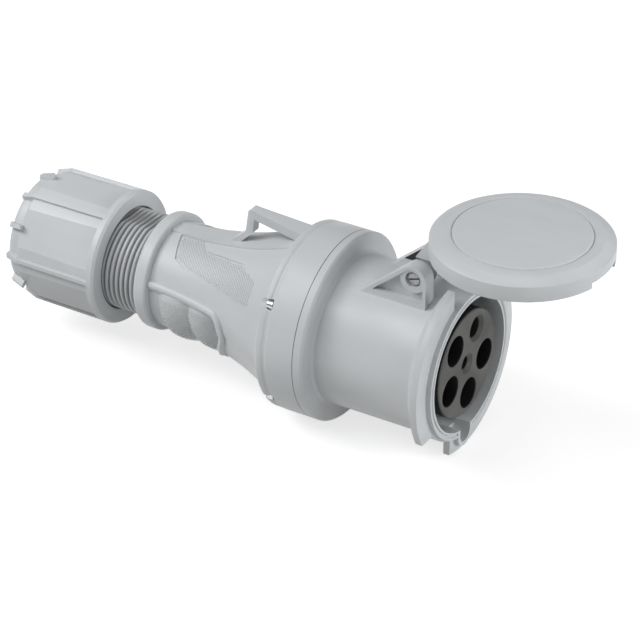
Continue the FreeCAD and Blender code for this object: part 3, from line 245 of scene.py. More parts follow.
def seam_distance(material):
    """How far a point is from the joint between the two housings."""
    tree = material.node_tree
    return maths(tree, "ABSOLUTE", maths(tree, "SUBTRACT", place_axes(material)["X"], SEAM_PLACE))


def shade_zone(material, measure, start, full, colour):
    """Lead a material over to another colour where a measure of the place goes from start to full."""
    nodes, links = material.node_tree.nodes, material.node_tree.links
    base = nodes["Principled BSDF"].inputs["Base Color"]
    share = nodes.new("ShaderNodeMapRange")
    share.inputs["From Min"].default_value = start
    share.inputs["From Max"].default_value = full
    tint = nodes.new("ShaderNodeMix")
    tint.data_type = "RGBA"
    tint.inputs["B"].default_value = colour
    links.new(measure, share.inputs["Value"])
    links.new(share.outputs["Result"], tint.inputs["Factor"])
    links.new(base.links[0].from_socket, tint.inputs["A"])
    links.new(tint.outputs["Result"], base)


rear_plastic = moulded("rear_grey", HOUSING_GREY, HOUSING_SHADE)
# Painted shade: the threaded neck behind NECK_START is painted a darker grey, for the shade the gland nut
# casts on it.
shade_zone(rear_plastic, place_axes(rear_plastic)["X"], NECK_START, NECK_START - NECK_FADE, NECK_PAINTED_SHADE)
shade_zone(rear_plastic, seam_distance(rear_plastic), SEAM_EDGE, SEAM_CORE, SEAM_DARK)
finish_node("rear_housing", rear_plastic, MOULD_EDGE)

# Pips of the grip
# Small raised diamonds in rows, cut into the mould: they roughen the two sunk side panels and the finger
# bumps, so that a gloved hand can pull the coupler. They are part of the same grey moulding.
PIP_PITCH = 1.25 * MM
PIP_RADIUS = 0.50 * MM
PIP_TOP = 0.35
PIP_HEIGHT = 0.34 * MM
PIP_SINK = 0.06 * MM
PIP_SIDES = 4
ROW_SLANT = math.radians(45)
OUTLINE_SCAN = 10.0 * MM
GRIP_REACH = 80.0 * MM
PIP_SHADED_GREY = (0.500, 0.518, 0.530, 1.0)
PIP_SHADE = (0.470, 0.488, 0.500, 1.0)
SIDE_TURN = math.radians(45)
SIDE_PANEL = [(-166.2, 14.4), (-162.4, 2.5), (-155.0, -1.4), (-109.2, -12.6),
              (-109.2, -0.2), (-121.6, 7.3), (-147.9, 9.4), (-152.3, 14.4)]
FINGER_TURN = math.radians(90)
FINGER_PANEL = [(-166.5, 1.0), (-134.0, -0.6), (-129.6, -5.5),
                (-129.8, -13.0), (-136.5, -23.0), (-166.5, -23.0)]
# Painted shade: the pips are painted a darker grey than the housing they are moulded with.
pip_plastic = moulded("pip_grey", PIP_SHADED_GREY, PIP_SHADE)


def growth_tree(name, sizes, on_surface=False):
    """A tree of geometry nodes, with named sizes and perhaps a surface to grow on, and its start."""
    tree = bpy.data.node_groups.new(name, "GeometryNodeTree")
    group_socket(tree, "Geometry", "NodeSocketGeometry", "INPUT")
    if on_surface:
        group_socket(tree, "Surface", "NodeSocketObject", "INPUT")
        group_socket(tree, "Turn", "NodeSocketFloat", "INPUT")
    for label, size in sizes.items():
        group_socket(tree, label, "NodeSocketFloat", "INPUT", size)
    group_socket(tree, "Material", "NodeSocketMaterial", "INPUT")
    group_socket(tree, "Geometry", "NodeSocketGeometry", "OUTPUT")
    return tree, tree.nodes.new("NodeGroupInput")


def close_growth(tree, start, geometry):
    """End a tree of geometry nodes: make its instances real and give them the material."""
    nodes, links = tree.nodes, tree.links
    real = nodes.new("GeometryNodeRealizeInstances")
    paint = nodes.new("GeometryNodeSetMaterial")
    end = nodes.new("NodeGroupOutput")
    links.new(geometry, real.inputs["Geometry"])
    links.new(real.outputs["Geometry"], paint.inputs["Geometry"])
    links.new(start.outputs["Material"], paint.inputs["Material"])
    links.new(paint.outputs["Geometry"], end.inputs["Geometry"])


def scaled(tree, vector, factor):
    """A vector times a number, which is plain or from a socket."""
    node = tree.nodes.new("ShaderNodeVectorMath")
    node.operation = "SCALE"
    tree.links.new(vector, node.inputs[0])
    if isinstance(factor, (int, float)):
        node.inputs["Scale"].default_value = factor
    else:
        tree.links.new(factor, node.inputs["Scale"])
    return node.outputs[0]


def facing_grip(tree, start, flat):
    """Stand a flat drawing off the side of the grip: the drawing, its rays to the surface and their way."""
    nodes, links = tree.nodes, tree.links
    turn = nodes.new("ShaderNodeCombineXYZ")
    links.new(start.outputs["Turn"], turn.inputs["X"])
    outward = nodes.new("ShaderNodeVectorRotate")
    outward.rotation_type = "X_AXIS"
    outward.inputs["Vector"].default_value = (0.0, 0.0, 1.0)
    links.new(start.outputs["Turn"], outward.inputs["Angle"])
    inward = scaled(tree, outward.outputs["Vector"], -1.0)
    stand = nodes.new("GeometryNodeTransform")
    links.new(flat, stand.inputs["Geometry"])
    links.new(turn.outputs["Vector"], stand.inputs["Rotation"])
    links.new(scaled(tree, outward.outputs["Vector"], start.outputs["Reach"]), stand.inputs["Translation"])
    surface = nodes.new("GeometryNodeObjectInfo")
    links.new(start.outputs["Surface"], surface.inputs["Object"])
    drop = nodes.new("GeometryNodeRaycast")
    links.new(surface.outputs["Geometry"], drop.inputs["Target Geometry"])
    links.new(inward, drop.inputs["Ray Direction"])
    return stand.outputs["Geometry"], drop.outputs, inward


def pip_tree():
    """Pips in a diamond grid inside an outline, dropped on the surface behind it."""
    tree, start = growth_tree("grip_pips", {
        "Pitch": PIP_PITCH, "Pip Radius": PIP_RADIUS, "Pip Top": PIP_TOP, "Pip Height": PIP_HEIGHT,
        "Sink": PIP_SINK, "Reach": GRIP_REACH}, on_surface=True)
    nodes, links = tree.nodes, tree.links
    outline_box = nodes.new("GeometryNodeBoundBox")
    links.new(start.outputs["Geometry"], outline_box.inputs["Geometry"])
    both_ends = nodes.new("ShaderNodeVectorMath")
    links.new(outline_box.outputs["Min"], both_ends.inputs[0])
    links.new(outline_box.outputs["Max"], both_ends.inputs[1])
    span = nodes.new("ShaderNodeVectorMath")
    span.operation = "DISTANCE"
    links.new(outline_box.outputs["Min"], span.inputs[0])
    links.new(outline_box.outputs["Max"], span.inputs[1])
    rows = maths(tree, "CEIL", maths(tree, "DIVIDE", span.outputs["Value"], start.outputs["Pitch"]))
    side = maths(tree, "MULTIPLY", maths(tree, "SUBTRACT", rows, 1.0), start.outputs["Pitch"])
    grid = nodes.new("GeometryNodeMeshGrid")
    links.new(side, grid.inputs["Size X"])
    links.new(side, grid.inputs["Size Y"])
    links.new(rows, grid.inputs["Vertices X"])
    links.new(rows, grid.inputs["Vertices Y"])
    slant = nodes.new("GeometryNodeTransform")
    slant.inputs["Rotation"].default_value = (0.0, 0.0, ROW_SLANT)
    links.new(grid.outputs["Mesh"], slant.inputs["Geometry"])
    links.new(scaled(tree, both_ends.outputs[0], 0.5), slant.inputs["Translation"])
    place = nodes.new("GeometryNodeInputPosition")
    above = nodes.new("ShaderNodeVectorMath")
    above.inputs[1].default_value = (0.0, 0.0, OUTLINE_SCAN)
    links.new(place.outputs["Position"], above.inputs[0])
    inside = nodes.new("GeometryNodeRaycast")
    inside.inputs["Ray Direction"].default_value = (0.0, 0.0, -1.0)
    links.new(above.outputs[0], inside.inputs["Source Position"])
    links.new(start.outputs["Geometry"], inside.inputs["Target Geometry"])
    beyond = nodes.new("FunctionNodeBooleanMath")
    beyond.operation = "NOT"
    links.new(inside.outputs["Is Hit"], beyond.inputs[0])
    trim = nodes.new("GeometryNodeDeleteGeometry")
    links.new(slant.outputs["Geometry"], trim.inputs["Geometry"])
    links.new(beyond.outputs[0], trim.inputs["Selection"])
    stand, drop, _ = facing_grip(tree, start, trim.outputs["Geometry"])
    keep = nodes.new("GeometryNodeCaptureAttribute")
    keep.capture_items.new("VECTOR", "Normal")
    links.new(stand, keep.inputs["Geometry"])
    links.new(drop["Hit Normal"], keep.inputs["Normal"])
    land = nodes.new("GeometryNodeSetPosition")
    links.new(keep.outputs["Geometry"], land.inputs["Geometry"])
    links.new(drop["Hit Position"], land.inputs["Position"])
    pip = nodes.new("GeometryNodeMeshCone")
    pip.inputs["Vertices"].default_value = PIP_SIDES
    top = maths(tree, "MULTIPLY", start.outputs["Pip Radius"], start.outputs["Pip Top"])
    links.new(start.outputs["Pip Radius"], pip.inputs["Radius Bottom"])
    links.new(top, pip.inputs["Radius Top"])
    links.new(maths(tree, "ADD", start.outputs["Pip Height"], start.outputs["Sink"]), pip.inputs["Depth"])
    lower = nodes.new("ShaderNodeCombineXYZ")
    links.new(maths(tree, "MULTIPLY", start.outputs["Sink"], -1.0), lower.inputs["Z"])
    seat = nodes.new("GeometryNodeTransform")
    links.new(pip.outputs["Mesh"], seat.inputs["Geometry"])
    links.new(lower.outputs["Vector"], seat.inputs["Translation"])
    face = nodes.new("FunctionNodeAlignRotationToVector")
    face.axis = "Z"
    links.new(keep.outputs["Normal"], face.inputs["Vector"])
    scatter = nodes.new("GeometryNodeInstanceOnPoints")
    links.new(land.outputs["Geometry"], scatter.inputs["Points"])
    links.new(seat.outputs["Geometry"], scatter.inputs["Instance"])
    links.new(face.outputs["Rotation"], scatter.inputs["Rotation"])
    close_growth(tree, start, scatter.outputs["Instances"])
    return tree


PIPS = pip_tree()


def placed(name, data):
    """A new object in the scene."""
    item = bpy.data.objects.new(name, data)
    bpy.context.scene.collection.objects.link(item)
    return item


def grown(name, base, tree, material, settings):
    """The piece, as a plain mesh in one material, that a tree of geometry nodes grows from a base mesh."""
    item = placed(name + "_base", base)
    modifier = item.modifiers.new(name, "NODES")
    modifier.node_group = tree
    settings = {**settings, "Material": material}
    for socket in tree.interface.items_tree:
        if socket.in_out == "INPUT" and socket.name in settings:
            modifier[socket.identifier] = settings[socket.name]
    view = bpy.context.evaluated_depsgraph_get()
    mesh = bpy.data.meshes.new_from_object(item.evaluated_get(view))
    item.modifiers.remove(modifier)
    bpy.data.objects.remove(item)
    mesh.name = name
    mesh.materials.clear()
    mesh.materials.append(material)
    return placed(name, mesh)


def pip_panel(name, outline, turn, way):
    """One field of pips; way is 1 on the near side of the grip and -1 on the far side."""
    base = bpy.data.meshes.new(name + "_outline")
    corners = [(x * MM, way * v * MM, 0.0) for x, v in outline]
    base.from_pydata(corners, [], [tuple(range(len(corners)))])
    piece = grown(name, base, PIPS, pip_plastic,
                  {"Surface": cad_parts["rear_housing"], "Turn": way * turn})
    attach(piece, "housing")


pip_panel("side_pips_near", SIDE_PANEL, SIDE_TURN, 1)
pip_panel("side_pips_far", SIDE_PANEL, SIDE_TURN, -1)
pip_panel("finger_pips_near", FINGER_PANEL, FINGER_TURN, 1)
pip_panel("finger_pips_far", FINGER_PANEL, FINGER_TURN, -1)

# Grip ridge
# The rounded rib over the finger bumps, moulded with the rear housing: it stops the hand on its way to the
# flare, and runs down in front of the foremost finger.
RIDGE_RADIUS = 2.4 * MM
RIDGE_SINK = 1.6 * MM
RIDGE_BEND = 4.0 * MM
RIDGE_BEND_POINTS = 6
RIDGE_STEP = 1.0 * MM
RIDGE_SIDES = 20
RIDGE_EDGE = 0.05 * MM
RIDGE_TURN = math.radians(90)
RIDGE_PATH = [(-174.0, 6.6), (-130.7, 4.8), (-127.7, 1.8), (-124.7, -7.0), (-127.7, -14.0), (-130.4, -21.0)]


def ridge_tree():
    """A rounded rib along a path that is dropped on the surface behind it."""
    tree, start = growth_tree("grip_ridge", {
        "Radius": RIDGE_RADIUS, "Sink": RIDGE_SINK, "Bend": RIDGE_BEND, "Step": RIDGE_STEP,
        "Reach": GRIP_REACH}, on_surface=True)
    nodes, links = tree.nodes, tree.links
    path = nodes.new("GeometryNodeMeshToCurve")
    links.new(start.outputs["Geometry"], path.inputs["Mesh"])
    round_off = nodes.new("GeometryNodeFilletCurve")
    round_off.mode = "POLY"
    round_off.inputs["Count"].default_value = RIDGE_BEND_POINTS
    round_off.inputs["Limit Radius"].default_value = True
    links.new(path.outputs["Curve"], round_off.inputs["Curve"])
    links.new(start.outputs["Bend"], round_off.inputs["Radius"])
    even = nodes.new("GeometryNodeResampleCurve")
    even.mode = "LENGTH"
    links.new(round_off.outputs["Curve"], even.inputs["Curve"])
    links.new(start.outputs["Step"], even.inputs["Length"])
    stand, drop, inward = facing_grip(tree, start, even.outputs["Curve"])
    land = nodes.new("GeometryNodeSetPosition")
    links.new(stand, land.inputs["Geometry"])
    links.new(drop["Hit Position"], land.inputs["Position"])
    links.new(scaled(tree, inward, start.outputs["Sink"]), land.inputs["Offset"])
    section = nodes.new("GeometryNodeCurvePrimitiveCircle")
    section.inputs["Resolution"].default_value = RIDGE_SIDES
    links.new(start.outputs["Radius"], section.inputs["Radius"])
    rib = nodes.new("GeometryNodeCurveToMesh")
    rib.inputs["Fill Caps"].default_value = True
    links.new(land.outputs["Geometry"], rib.inputs["Curve"])
    links.new(section.outputs["Curve"], rib.inputs["Profile Curve"])
    close_growth(tree, start, rib.outputs["Mesh"])
    return tree


RIDGE = ridge_tree()


def grip_ridge(name, way):
    """The rib on one side of the grip; way is 1 on the near side and -1 on the far side."""
    base = bpy.data.meshes.new(name + "_path")
    corners = [(x * MM, way * v * MM, 0.0) for x, v in RIDGE_PATH]
    base.from_pydata(corners, [(step, step + 1) for step in range(len(corners) - 1)], [])
    piece = grown(name, base, RIDGE, rear_plastic,
                  {"Surface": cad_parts["rear_housing"], "Turn": way * RIDGE_TURN})
    soften(piece, RIDGE_EDGE)
    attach(piece, "housing")


grip_ridge("grip_ridge_near", 1)
grip_ridge("grip_ridge_far", -1)

# Gland thread
# The coarse two-start right-hand thread moulded on the neck of the rear housing, broken by a flat above
# and below where the two halves of the mould part. Its grey is painted darker than the housing's, and its
# grooves darker still: painted shade.
THREAD_CORE = 25.6 * MM
THREAD_HEIGHT = 1.7 * MM
THREAD_LEAD = 6.0 * MM
THREAD_FRONT = -184.6 * MM
THREAD_TURNS = 6.0
THREAD_TURN_POINTS = 96
THREAD_ROOT = 2.7 * MM
THREAD_CREST = 1.3 * MM
THREAD_SUNK = 0.3
THREAD_FLAT = 25.9 * MM
THREAD_EDGE = 0.2 * MM
THREAD_SHADED_GREY = (0.520, 0.537, 0.552, 1.0)
THREAD_SHADE = (0.490, 0.507, 0.521, 1.0)
THREAD_GROOVE_PAINTED_SHADE = (0.310, 0.321, 0.332, 1.0)
THREAD_LIGHT = THREAD_CORE + 1.3 * MM
THREAD_DARK = THREAD_CORE + 0.3 * MM
thread_plastic = moulded("thread_grey", THREAD_SHADED_GREY, THREAD_SHADE)


def axis_distance(material):
    """How far a point is from the coupler's axis."""
    nodes, links = material.node_tree.nodes, material.node_tree.links
    place = nodes.new("ShaderNodeTexCoord")
    across = nodes.new("ShaderNodeVectorMath")
    across.operation = "MULTIPLY"
    across.inputs[1].default_value = (0.0, 1.0, 1.0)
    distance = nodes.new("ShaderNodeVectorMath")
    distance.operation = "LENGTH"
    links.new(place.outputs["Object"], across.inputs[0])
    links.new(across.outputs["Vector"], distance.inputs[0])
    return distance.outputs["Value"]


def thread_tree():
    """Two ridges that wind along the neck, half a turn apart, cut level at the two flats."""
    tree, start = growth_tree("gland_thread", {
        "Core": THREAD_CORE, "Height": THREAD_HEIGHT, "Sunk": THREAD_SUNK, "Lead": THREAD_LEAD,
        "Turns": THREAD_TURNS, "Root Width": THREAD_ROOT, "Crest Width": THREAD_CREST, "Flat": THREAD_FLAT,
        "Front": THREAD_FRONT})
    nodes, links = tree.nodes, tree.links

    def corner(across, along):
        point = nodes.new("ShaderNodeCombineXYZ")
        links.new(across, point.inputs["X"])
        links.new(along, point.inputs["Y"])
        return point.outputs["Vector"]

    path = nodes.new("GeometryNodeCurveSpiral")
    path.inputs["Resolution"].default_value = THREAD_TURN_POINTS
    links.new(start.outputs["Turns"], path.inputs["Rotations"])
    links.new(start.outputs["Core"], path.inputs["Start Radius"])
    links.new(start.outputs["Core"], path.inputs["End Radius"])
    links.new(maths(tree, "MULTIPLY", start.outputs["Lead"], start.outputs["Turns"]), path.inputs["Height"])
    level = nodes.new("GeometryNodeSetCurveNormal")
    level.mode = "Z_UP"
    links.new(path.outputs["Curve"], level.inputs["Curve"])
    root = maths(tree, "MULTIPLY", start.outputs["Root Width"], 0.5)
    crest = maths(tree, "MULTIPLY", start.outputs["Crest Width"], 0.5)
    foot = maths(tree, "MULTIPLY", start.outputs["Height"], start.outputs["Sunk"])
    top = maths(tree, "MULTIPLY", start.outputs["Height"], -1.0)
    section = nodes.new("GeometryNodeCurvePrimitiveQuadrilateral")
    section.mode = "POINTS"
    links.new(corner(foot, maths(tree, "MULTIPLY", root, -1.0)), section.inputs["Point 1"])
    links.new(corner(top, maths(tree, "MULTIPLY", crest, -1.0)), section.inputs["Point 2"])
    links.new(corner(top, crest), section.inputs["Point 3"])
    links.new(corner(foot, root), section.inputs["Point 4"])
    ridge = nodes.new("GeometryNodeCurveToMesh")
    ridge.inputs["Fill Caps"].default_value = True
    links.new(level.outputs["Curve"], ridge.inputs["Curve"])
    links.new(section.outputs["Curve"], ridge.inputs["Profile Curve"])
    outside = nodes.new("GeometryNodeFlipFaces")
    links.new(ridge.outputs["Mesh"], outside.inputs["Mesh"])
    second = nodes.new("GeometryNodeTransform")
    second.inputs["Rotation"].default_value = (0.0, 0.0, math.radians(180))
    links.new(outside.outputs["Mesh"], second.inputs["Geometry"])
    starts = nodes.new("GeometryNodeJoinGeometry")
    links.new(outside.outputs["Mesh"], starts.inputs["Geometry"])
    links.new(second.outputs["Geometry"], starts.inputs["Geometry"])
    front = nodes.new("ShaderNodeCombineXYZ")
    links.new(start.outputs["Front"], front.inputs["X"])
    lay = nodes.new("GeometryNodeTransform")
    lay.inputs["Rotation"].default_value = (0.0, math.radians(-90), 0.0)
    links.new(starts.outputs["Geometry"], lay.inputs["Geometry"])
    links.new(front.outputs["Vector"], lay.inputs["Translation"])
    place = nodes.new("GeometryNodeInputPosition")
    axes = nodes.new("ShaderNodeSeparateXYZ")
    links.new(place.outputs["Position"], axes.inputs["Vector"])
    below_top = maths(tree, "MINIMUM", axes.outputs["Z"], start.outputs["Flat"])
    between = maths(tree, "MAXIMUM", below_top, maths(tree, "MULTIPLY", start.outputs["Flat"], -1.0))
    whole = nodes.new("ShaderNodeCombineXYZ")
    links.new(axes.outputs["X"], whole.inputs["X"])
    links.new(axes.outputs["Y"], whole.inputs["Y"])
    links.new(between, whole.inputs["Z"])
    trim = nodes.new("GeometryNodeSetPosition")
    links.new(lay.outputs["Geometry"], trim.inputs["Geometry"])
    links.new(whole.outputs["Vector"], trim.inputs["Position"])
    close_growth(tree, start, trim.outputs["Geometry"])
    return tree


# Painted shade: nearer the axis than THREAD_LIGHT the thread is led over to a dark grey, darkest at the roots
# of its grooves.
shade_zone(thread_plastic, axis_distance(thread_plastic), THREAD_LIGHT, THREAD_DARK, THREAD_GROOVE_PAINTED_SHADE)
gland_thread = grown("gland_thread", bpy.data.meshes.new("gland_thread_base"), thread_tree(),
                     thread_plastic, {})
soften(gland_thread, THREAD_EDGE)
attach(gland_thread, "housing")

# Front housing
# A second moulding in the same grey polyamide, screwed to the rear one at the flange: the sleeve with its
# double lip, the collar that the lid meets, the keyway and the ears of the hinge.
EAR_GAP_PAINTED_SHADE = (0.020, 0.020, 0.021, 1.0)
WELL_HALF = 9.66 * MM
WELL_FADE = 0.08 * MM
WELL_FLOOR = 43.5 * MM
WELL_REAR = -57.0 * MM
front_plastic = moulded("front_grey", HOUSING_GREY, HOUSING_SHADE)


def well_measure(material):
    """How far a point is from the middle of the hinge, made large for points below or behind the ears."""
    tree = material.node_tree
    axes = place_axes(material)
    reach = maths(tree, "ABSOLUTE", axes["Y"])
    for axis, limit in (("Z", WELL_FLOOR), ("X", WELL_REAR)):
        reach = maths(tree, "ADD", reach, maths(tree, "LESS_THAN", axes[axis], limit))
    return reach


shade_zone(front_plastic, seam_distance(front_plastic), SEAM_EDGE, SEAM_CORE, SEAM_DARK)
# Painted shade: the facing inner sides of the two ears are painted near black, for the shade in the narrow gap
# between them.
shade_zone(front_plastic, well_measure(front_plastic), WELL_HALF + WELL_FADE, WELL_HALF, EAR_GAP_PAINTED_SHADE)
finish_node("front_housing", front_plastic, MOULD_EDGE)

# Housing seal
# A black rubber ring in the groove of the front housing's spigot, hidden once the halves are together.
RUBBER_BLACK = (0.026, 0.026, 0.027, 1.0)
RUBBER_SHADE = (0.040, 0.040, 0.041, 1.0)
RUBBER_GRAIN = 0.08 * MM
RUBBER_GLOSS = (0.62, 0.80)
RUBBER_GRAIN_SCALE = 1500.0
SEAL_EDGE = 0.2 * MM
rubber = moulded("rubber_black", RUBBER_BLACK, RUBBER_SHADE, RUBBER_GRAIN, RUBBER_GLOSS, RUBBER_GRAIN_SCALE)
finish_node("housing_seal", rubber, SEAL_EDGE)

# Housing screws
# Four zinc-plated steel screws that hold the two housings together; each head lies in a pocket behind the
# flange ring, bright against the plastic.
SCREW_STEEL = (0.74, 0.75, 0.76, 1.0)
SCREW_SHADE = (0.52, 0.53, 0.55, 1.0)
SCREW_GLOSS = (0.18, 0.42)
SCREW_EDGE = 0.2 * MM
FILM_SCALE = 320.0
FILM_DETAIL = 6.0
LINE_SCALE = 1800.0
LINE_DETAIL = 2.0
LINE_STRETCH = (1.0, 0.06, 0.06)
LINE_DEPTH = 0.02 * MM
LINE_STRENGTH = 0.2


def machined_skin_group():
    """Skin of a turned or drawn metal: fine tool lines, a dull film in patches and uneven gloss."""
    tree = skin_tree("machined_skin", {
        "Colour": SCREW_STEEL, "Film": SCREW_SHADE, "Film Scale": FILM_SCALE, "Line Scale": LINE_SCALE,
        "Gloss Low": SCREW_GLOSS[0], "Gloss High": SCREW_GLOSS[1]})
    nodes, links = tree.nodes, tree.links
    start = nodes.new("NodeGroupInput")
    place = nodes.new("ShaderNodeTexCoord")
    drawn = nodes.new("ShaderNodeMapping")
    drawn.inputs["Scale"].default_value = LINE_STRETCH
    film = nodes.new("ShaderNodeTexNoise")
    film.inputs["Detail"].default_value = FILM_DETAIL
    lines = nodes.new("ShaderNodeTexNoise")
    lines.inputs["Detail"].default_value = LINE_DETAIL
    links.new(place.outputs["Object"], film.inputs["Vector"])
    links.new(place.outputs["Object"], drawn.inputs["Vector"])
    links.new(drawn.outputs["Vector"], lines.inputs["Vector"])
    links.new(start.outputs["Film Scale"], film.inputs["Scale"])
    links.new(start.outputs["Line Scale"], lines.inputs["Scale"])
    close_skin(tree, start, "Film", film.outputs["Fac"], lines.outputs["Fac"])
    return tree


MACHINED_SKIN = machined_skin_group()


def machined(name, colour, film, gloss):
    """A turned, drawn or plated metal."""
    settings = {"Colour": colour, "Film": film, "Gloss Low": gloss[0], "Gloss High": gloss[1]}
    material = skinned(name, MACHINED_SKIN, settings, LINE_STRENGTH, LINE_DEPTH)
    material.node_tree.nodes["Principled BSDF"].inputs["Metallic"].default_value = 1.0
    return material


zinc = machined("screw_steel", SCREW_STEEL, SCREW_SHADE, SCREW_GLOSS)
finish_node("housing_screws", zinc, SCREW_EDGE)

# Contact carrier and plate
# Dark thermoset mouldings that hold the contacts: the carrier's face is seen through the mouth, and the
# plate behind it keeps the contacts in, held by three small screws.
CARRIER_DARK = (0.066, 0.065, 0.062, 1.0)
CARRIER_SHADE = (0.050, 0.049, 0.047, 1.0)
CARRIER_PAINTED_SHADE = (0.004, 0.004, 0.004, 1.0)
CARRIER_GRAIN = 0.06 * MM
CARRIER_GLOSS = (0.48, 0.62)
CARRIER_EDGE = 0.3 * MM
SMALL_SCREW_EDGE = 0.15 * MM
FACE_DEPTH = -1.9 * MM
FADE_LENGTH = 0.4 * MM


def carrier_plastic(name, face_depth):
    """Dark moulded plastic in its own grey at the face, painted near black behind the given depth: painted
    shade in its deep holes and channels.
    """
    material = moulded(name, CARRIER_DARK, CARRIER_SHADE, CARRIER_GRAIN, CARRIER_GLOSS)
    shade_zone(material, place_axes(material)["X"], face_depth, face_depth - FADE_LENGTH, CARRIER_PAINTED_SHADE)
    return material


# Painted shade: the carrier and its plate are painted near black behind FACE_DEPTH, inside the holes and round
# the sides.
carrier_dark = carrier_plastic("carrier_dark", FACE_DEPTH)
finish_node("contact_carrier", carrier_dark, CARRIER_EDGE)
finish_node("carrier_plate", carrier_dark, CARRIER_EDGE)
finish_node("carrier_screws", zinc, SMALL_SCREW_EDGE)

# Lead-in bushes
# Two dark moulded bushes pressed into the earth and pilot holes of the carrier: a short funnel at the face
# guides the pin into the narrower throat in front of its contact.
BUSH_FACE = -1.55 * MM
BUSH_FUNNEL = -3.2 * MM
BUSH_REAR = -21.6 * MM
BUSH_SIDES = 72
BUSH_EDGE = 0.12 * MM
EARTH_BUSH = {"y": 9.2 * MM, "z": 15.935 * MM, "outside": 7.12 * MM, "throat": 5.4 * MM}
PILOT_BUSH = {"y": 0.0, "z": 0.0, "outside": 5.52 * MM, "throat": 3.4 * MM}
# Painted shade: each bush is painted near black behind its funnel, so that its throat looks dark.
bush_dark = carrier_plastic("bush_dark", BUSH_FUNNEL)


def bush(name, y, z, outside, throat):
    """A turned ring with a funnel at its front."""
    profile = [(BUSH_FACE, outside), (BUSH_FUNNEL, throat), (BUSH_REAR, throat), (BUSH_REAR, outside)]
    rows = len(profile)
    corners, faces = [], []
    for side in range(BUSH_SIDES):
        angle = 2 * math.pi * side / BUSH_SIDES
        corners += [(x, y + r * math.sin(angle), z + r * math.cos(angle)) for x, r in profile]
        here, there = side * rows, (side + 1) % BUSH_SIDES * rows
        for row in range(rows):
            after = (row + 1) % rows
            faces.append((here + row, there + row, there + after, here + after))
    mesh = bpy.data.meshes.new(name)
    mesh.from_pydata(corners, [], faces)
    shell = bmesh.new()
    shell.from_mesh(mesh)
    bmesh.ops.recalc_face_normals(shell, faces=shell.faces)
    shell.to_mesh(mesh)
    shell.free()
    mesh.materials.append(bush_dark)
    piece = placed(name, mesh)
    soften(piece, BUSH_EDGE)
    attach(piece, "housing")


bush("earth_bush", **EARTH_BUSH)
bush("pilot_bush", **PILOT_BUSH)

# Contacts
# Six turned brass sleeves round the plug's pins. The rear end of each is bored for one core of the cable,
# which a steel screw clamps there.
BRASS = (0.71, 0.56, 0.30, 1.0)
BRASS_FILM = (0.52, 0.40, 0.21, 1.0)
BRASS_GLOSS = (0.20, 0.40)
CONTACT_EDGE = 0.15 * MM
brass = machined("contact_brass", BRASS, BRASS_FILM, BRASS_GLOSS)
for contact in ("earth_contact", "phase_contact_1", "phase_contact_2", "phase_contact_3",
                "neutral_contact", "pilot_contact"):
    finish_node(contact, brass, CONTACT_EDGE)
finish_node("terminal_screws", zinc, SMALL_SCREW_EDGE)

# Hinge pin and spring
# A turned steel pin with a slotted head, darkened against rust, and a spring of round steel wire wound on
# it, which pulls the lid shut.
PIN_DARK = (0.40, 0.40, 0.41, 1.0)
PIN_FILM = (0.24, 0.24, 0.25, 1.0)
PIN_GLOSS = (0.28, 0.5)
PIN_EDGE = 0.15 * MM
SPRING_EDGE = 0.05 * MM
dark_steel = machined("pin_steel", PIN_DARK, PIN_FILM, PIN_GLOSS)
finish_node("hinge_pin", dark_steel, PIN_EDGE)
finish_node("lid_spring", zinc, SPRING_EDGE)

# Lid
# A moulded cover in the housing's grey plastic, hung on the pin between the two ears: a bevelled disc with
# a skirt that shuts over the mouth.
lid_plastic = moulded("housing_grey", HOUSING_GREY, HOUSING_SHADE)
finish_node("lid", lid_plastic, MOULD_EDGE)

# Lid gasket
# A ring of soft dark rubber pressed into the lid, which meets the lips of the mouth.
GASKET_GREY = (0.055, 0.056, 0.058, 1.0)
GASKET_SHADE = (0.075, 0.076, 0.078, 1.0)
GASKET_GLOSS = (0.60, 0.78)
GASKET_EDGE = 0.25 * MM
gasket_rubber = moulded("gasket_grey", GASKET_GREY, GASKET_SHADE, RUBBER_GRAIN, GASKET_GLOSS,
                        RUBBER_GRAIN_SCALE)
finish_node("lid_gasket", gasket_rubber, GASKET_EDGE)

# Cable gland
# Inside the nut: a rubber ring that seals the cable, a claw of plastic fingers that grips it, and a ring
# that presses the fingers when the nut is turned.
GLAND_DARK = (0.090, 0.090, 0.092, 1.0)
GLAND_SHADE = (0.070, 0.070, 0.072, 1.0)
GLAND_GLOSS = (0.42, 0.55)
GLAND_EDGE = 0.25 * MM
CABLE_SEAL_EDGE = 0.3 * MM
gland_plastic = moulded("gland_dark", GLAND_DARK, GLAND_SHADE, GRAIN_DEPTH, GLAND_GLOSS)
finish_node("cable_seal", rubber, CABLE_SEAL_EDGE)
finish_node("clamp_claw", gland_plastic, GLAND_EDGE)
finish_node("pressure_ring", gland_plastic, GLAND_EDGE)

# Gland nut
# A six-sided moulded nut in the same grey plastic, with ribs and end teeth for the hand, on the neck's
# thread.
NUT_FACET = math.radians(9)
NUT_EDGE = 0.5 * MM
NUT_BORE_PAINTED_SHADE = (0.055, 0.057, 0.060, 1.0)
BORE_RADIUS = 28.6 * MM
BORE_FADE = 0.6 * MM
nut_plastic = moulded("nut_grey", HOUSING_GREY, HOUSING_SHADE)
# Painted shade: the nut's bore, nearer the axis than BORE_RADIUS, is painted near black.
shade_zone(nut_plastic, axis_distance(nut_plastic), BORE_RADIUS, BORE_RADIUS - BORE_FADE, NUT_BORE_PAINTED_SHADE)
finish_node("gland_nut", nut_plastic, NUT_EDGE, NUT_FACET)

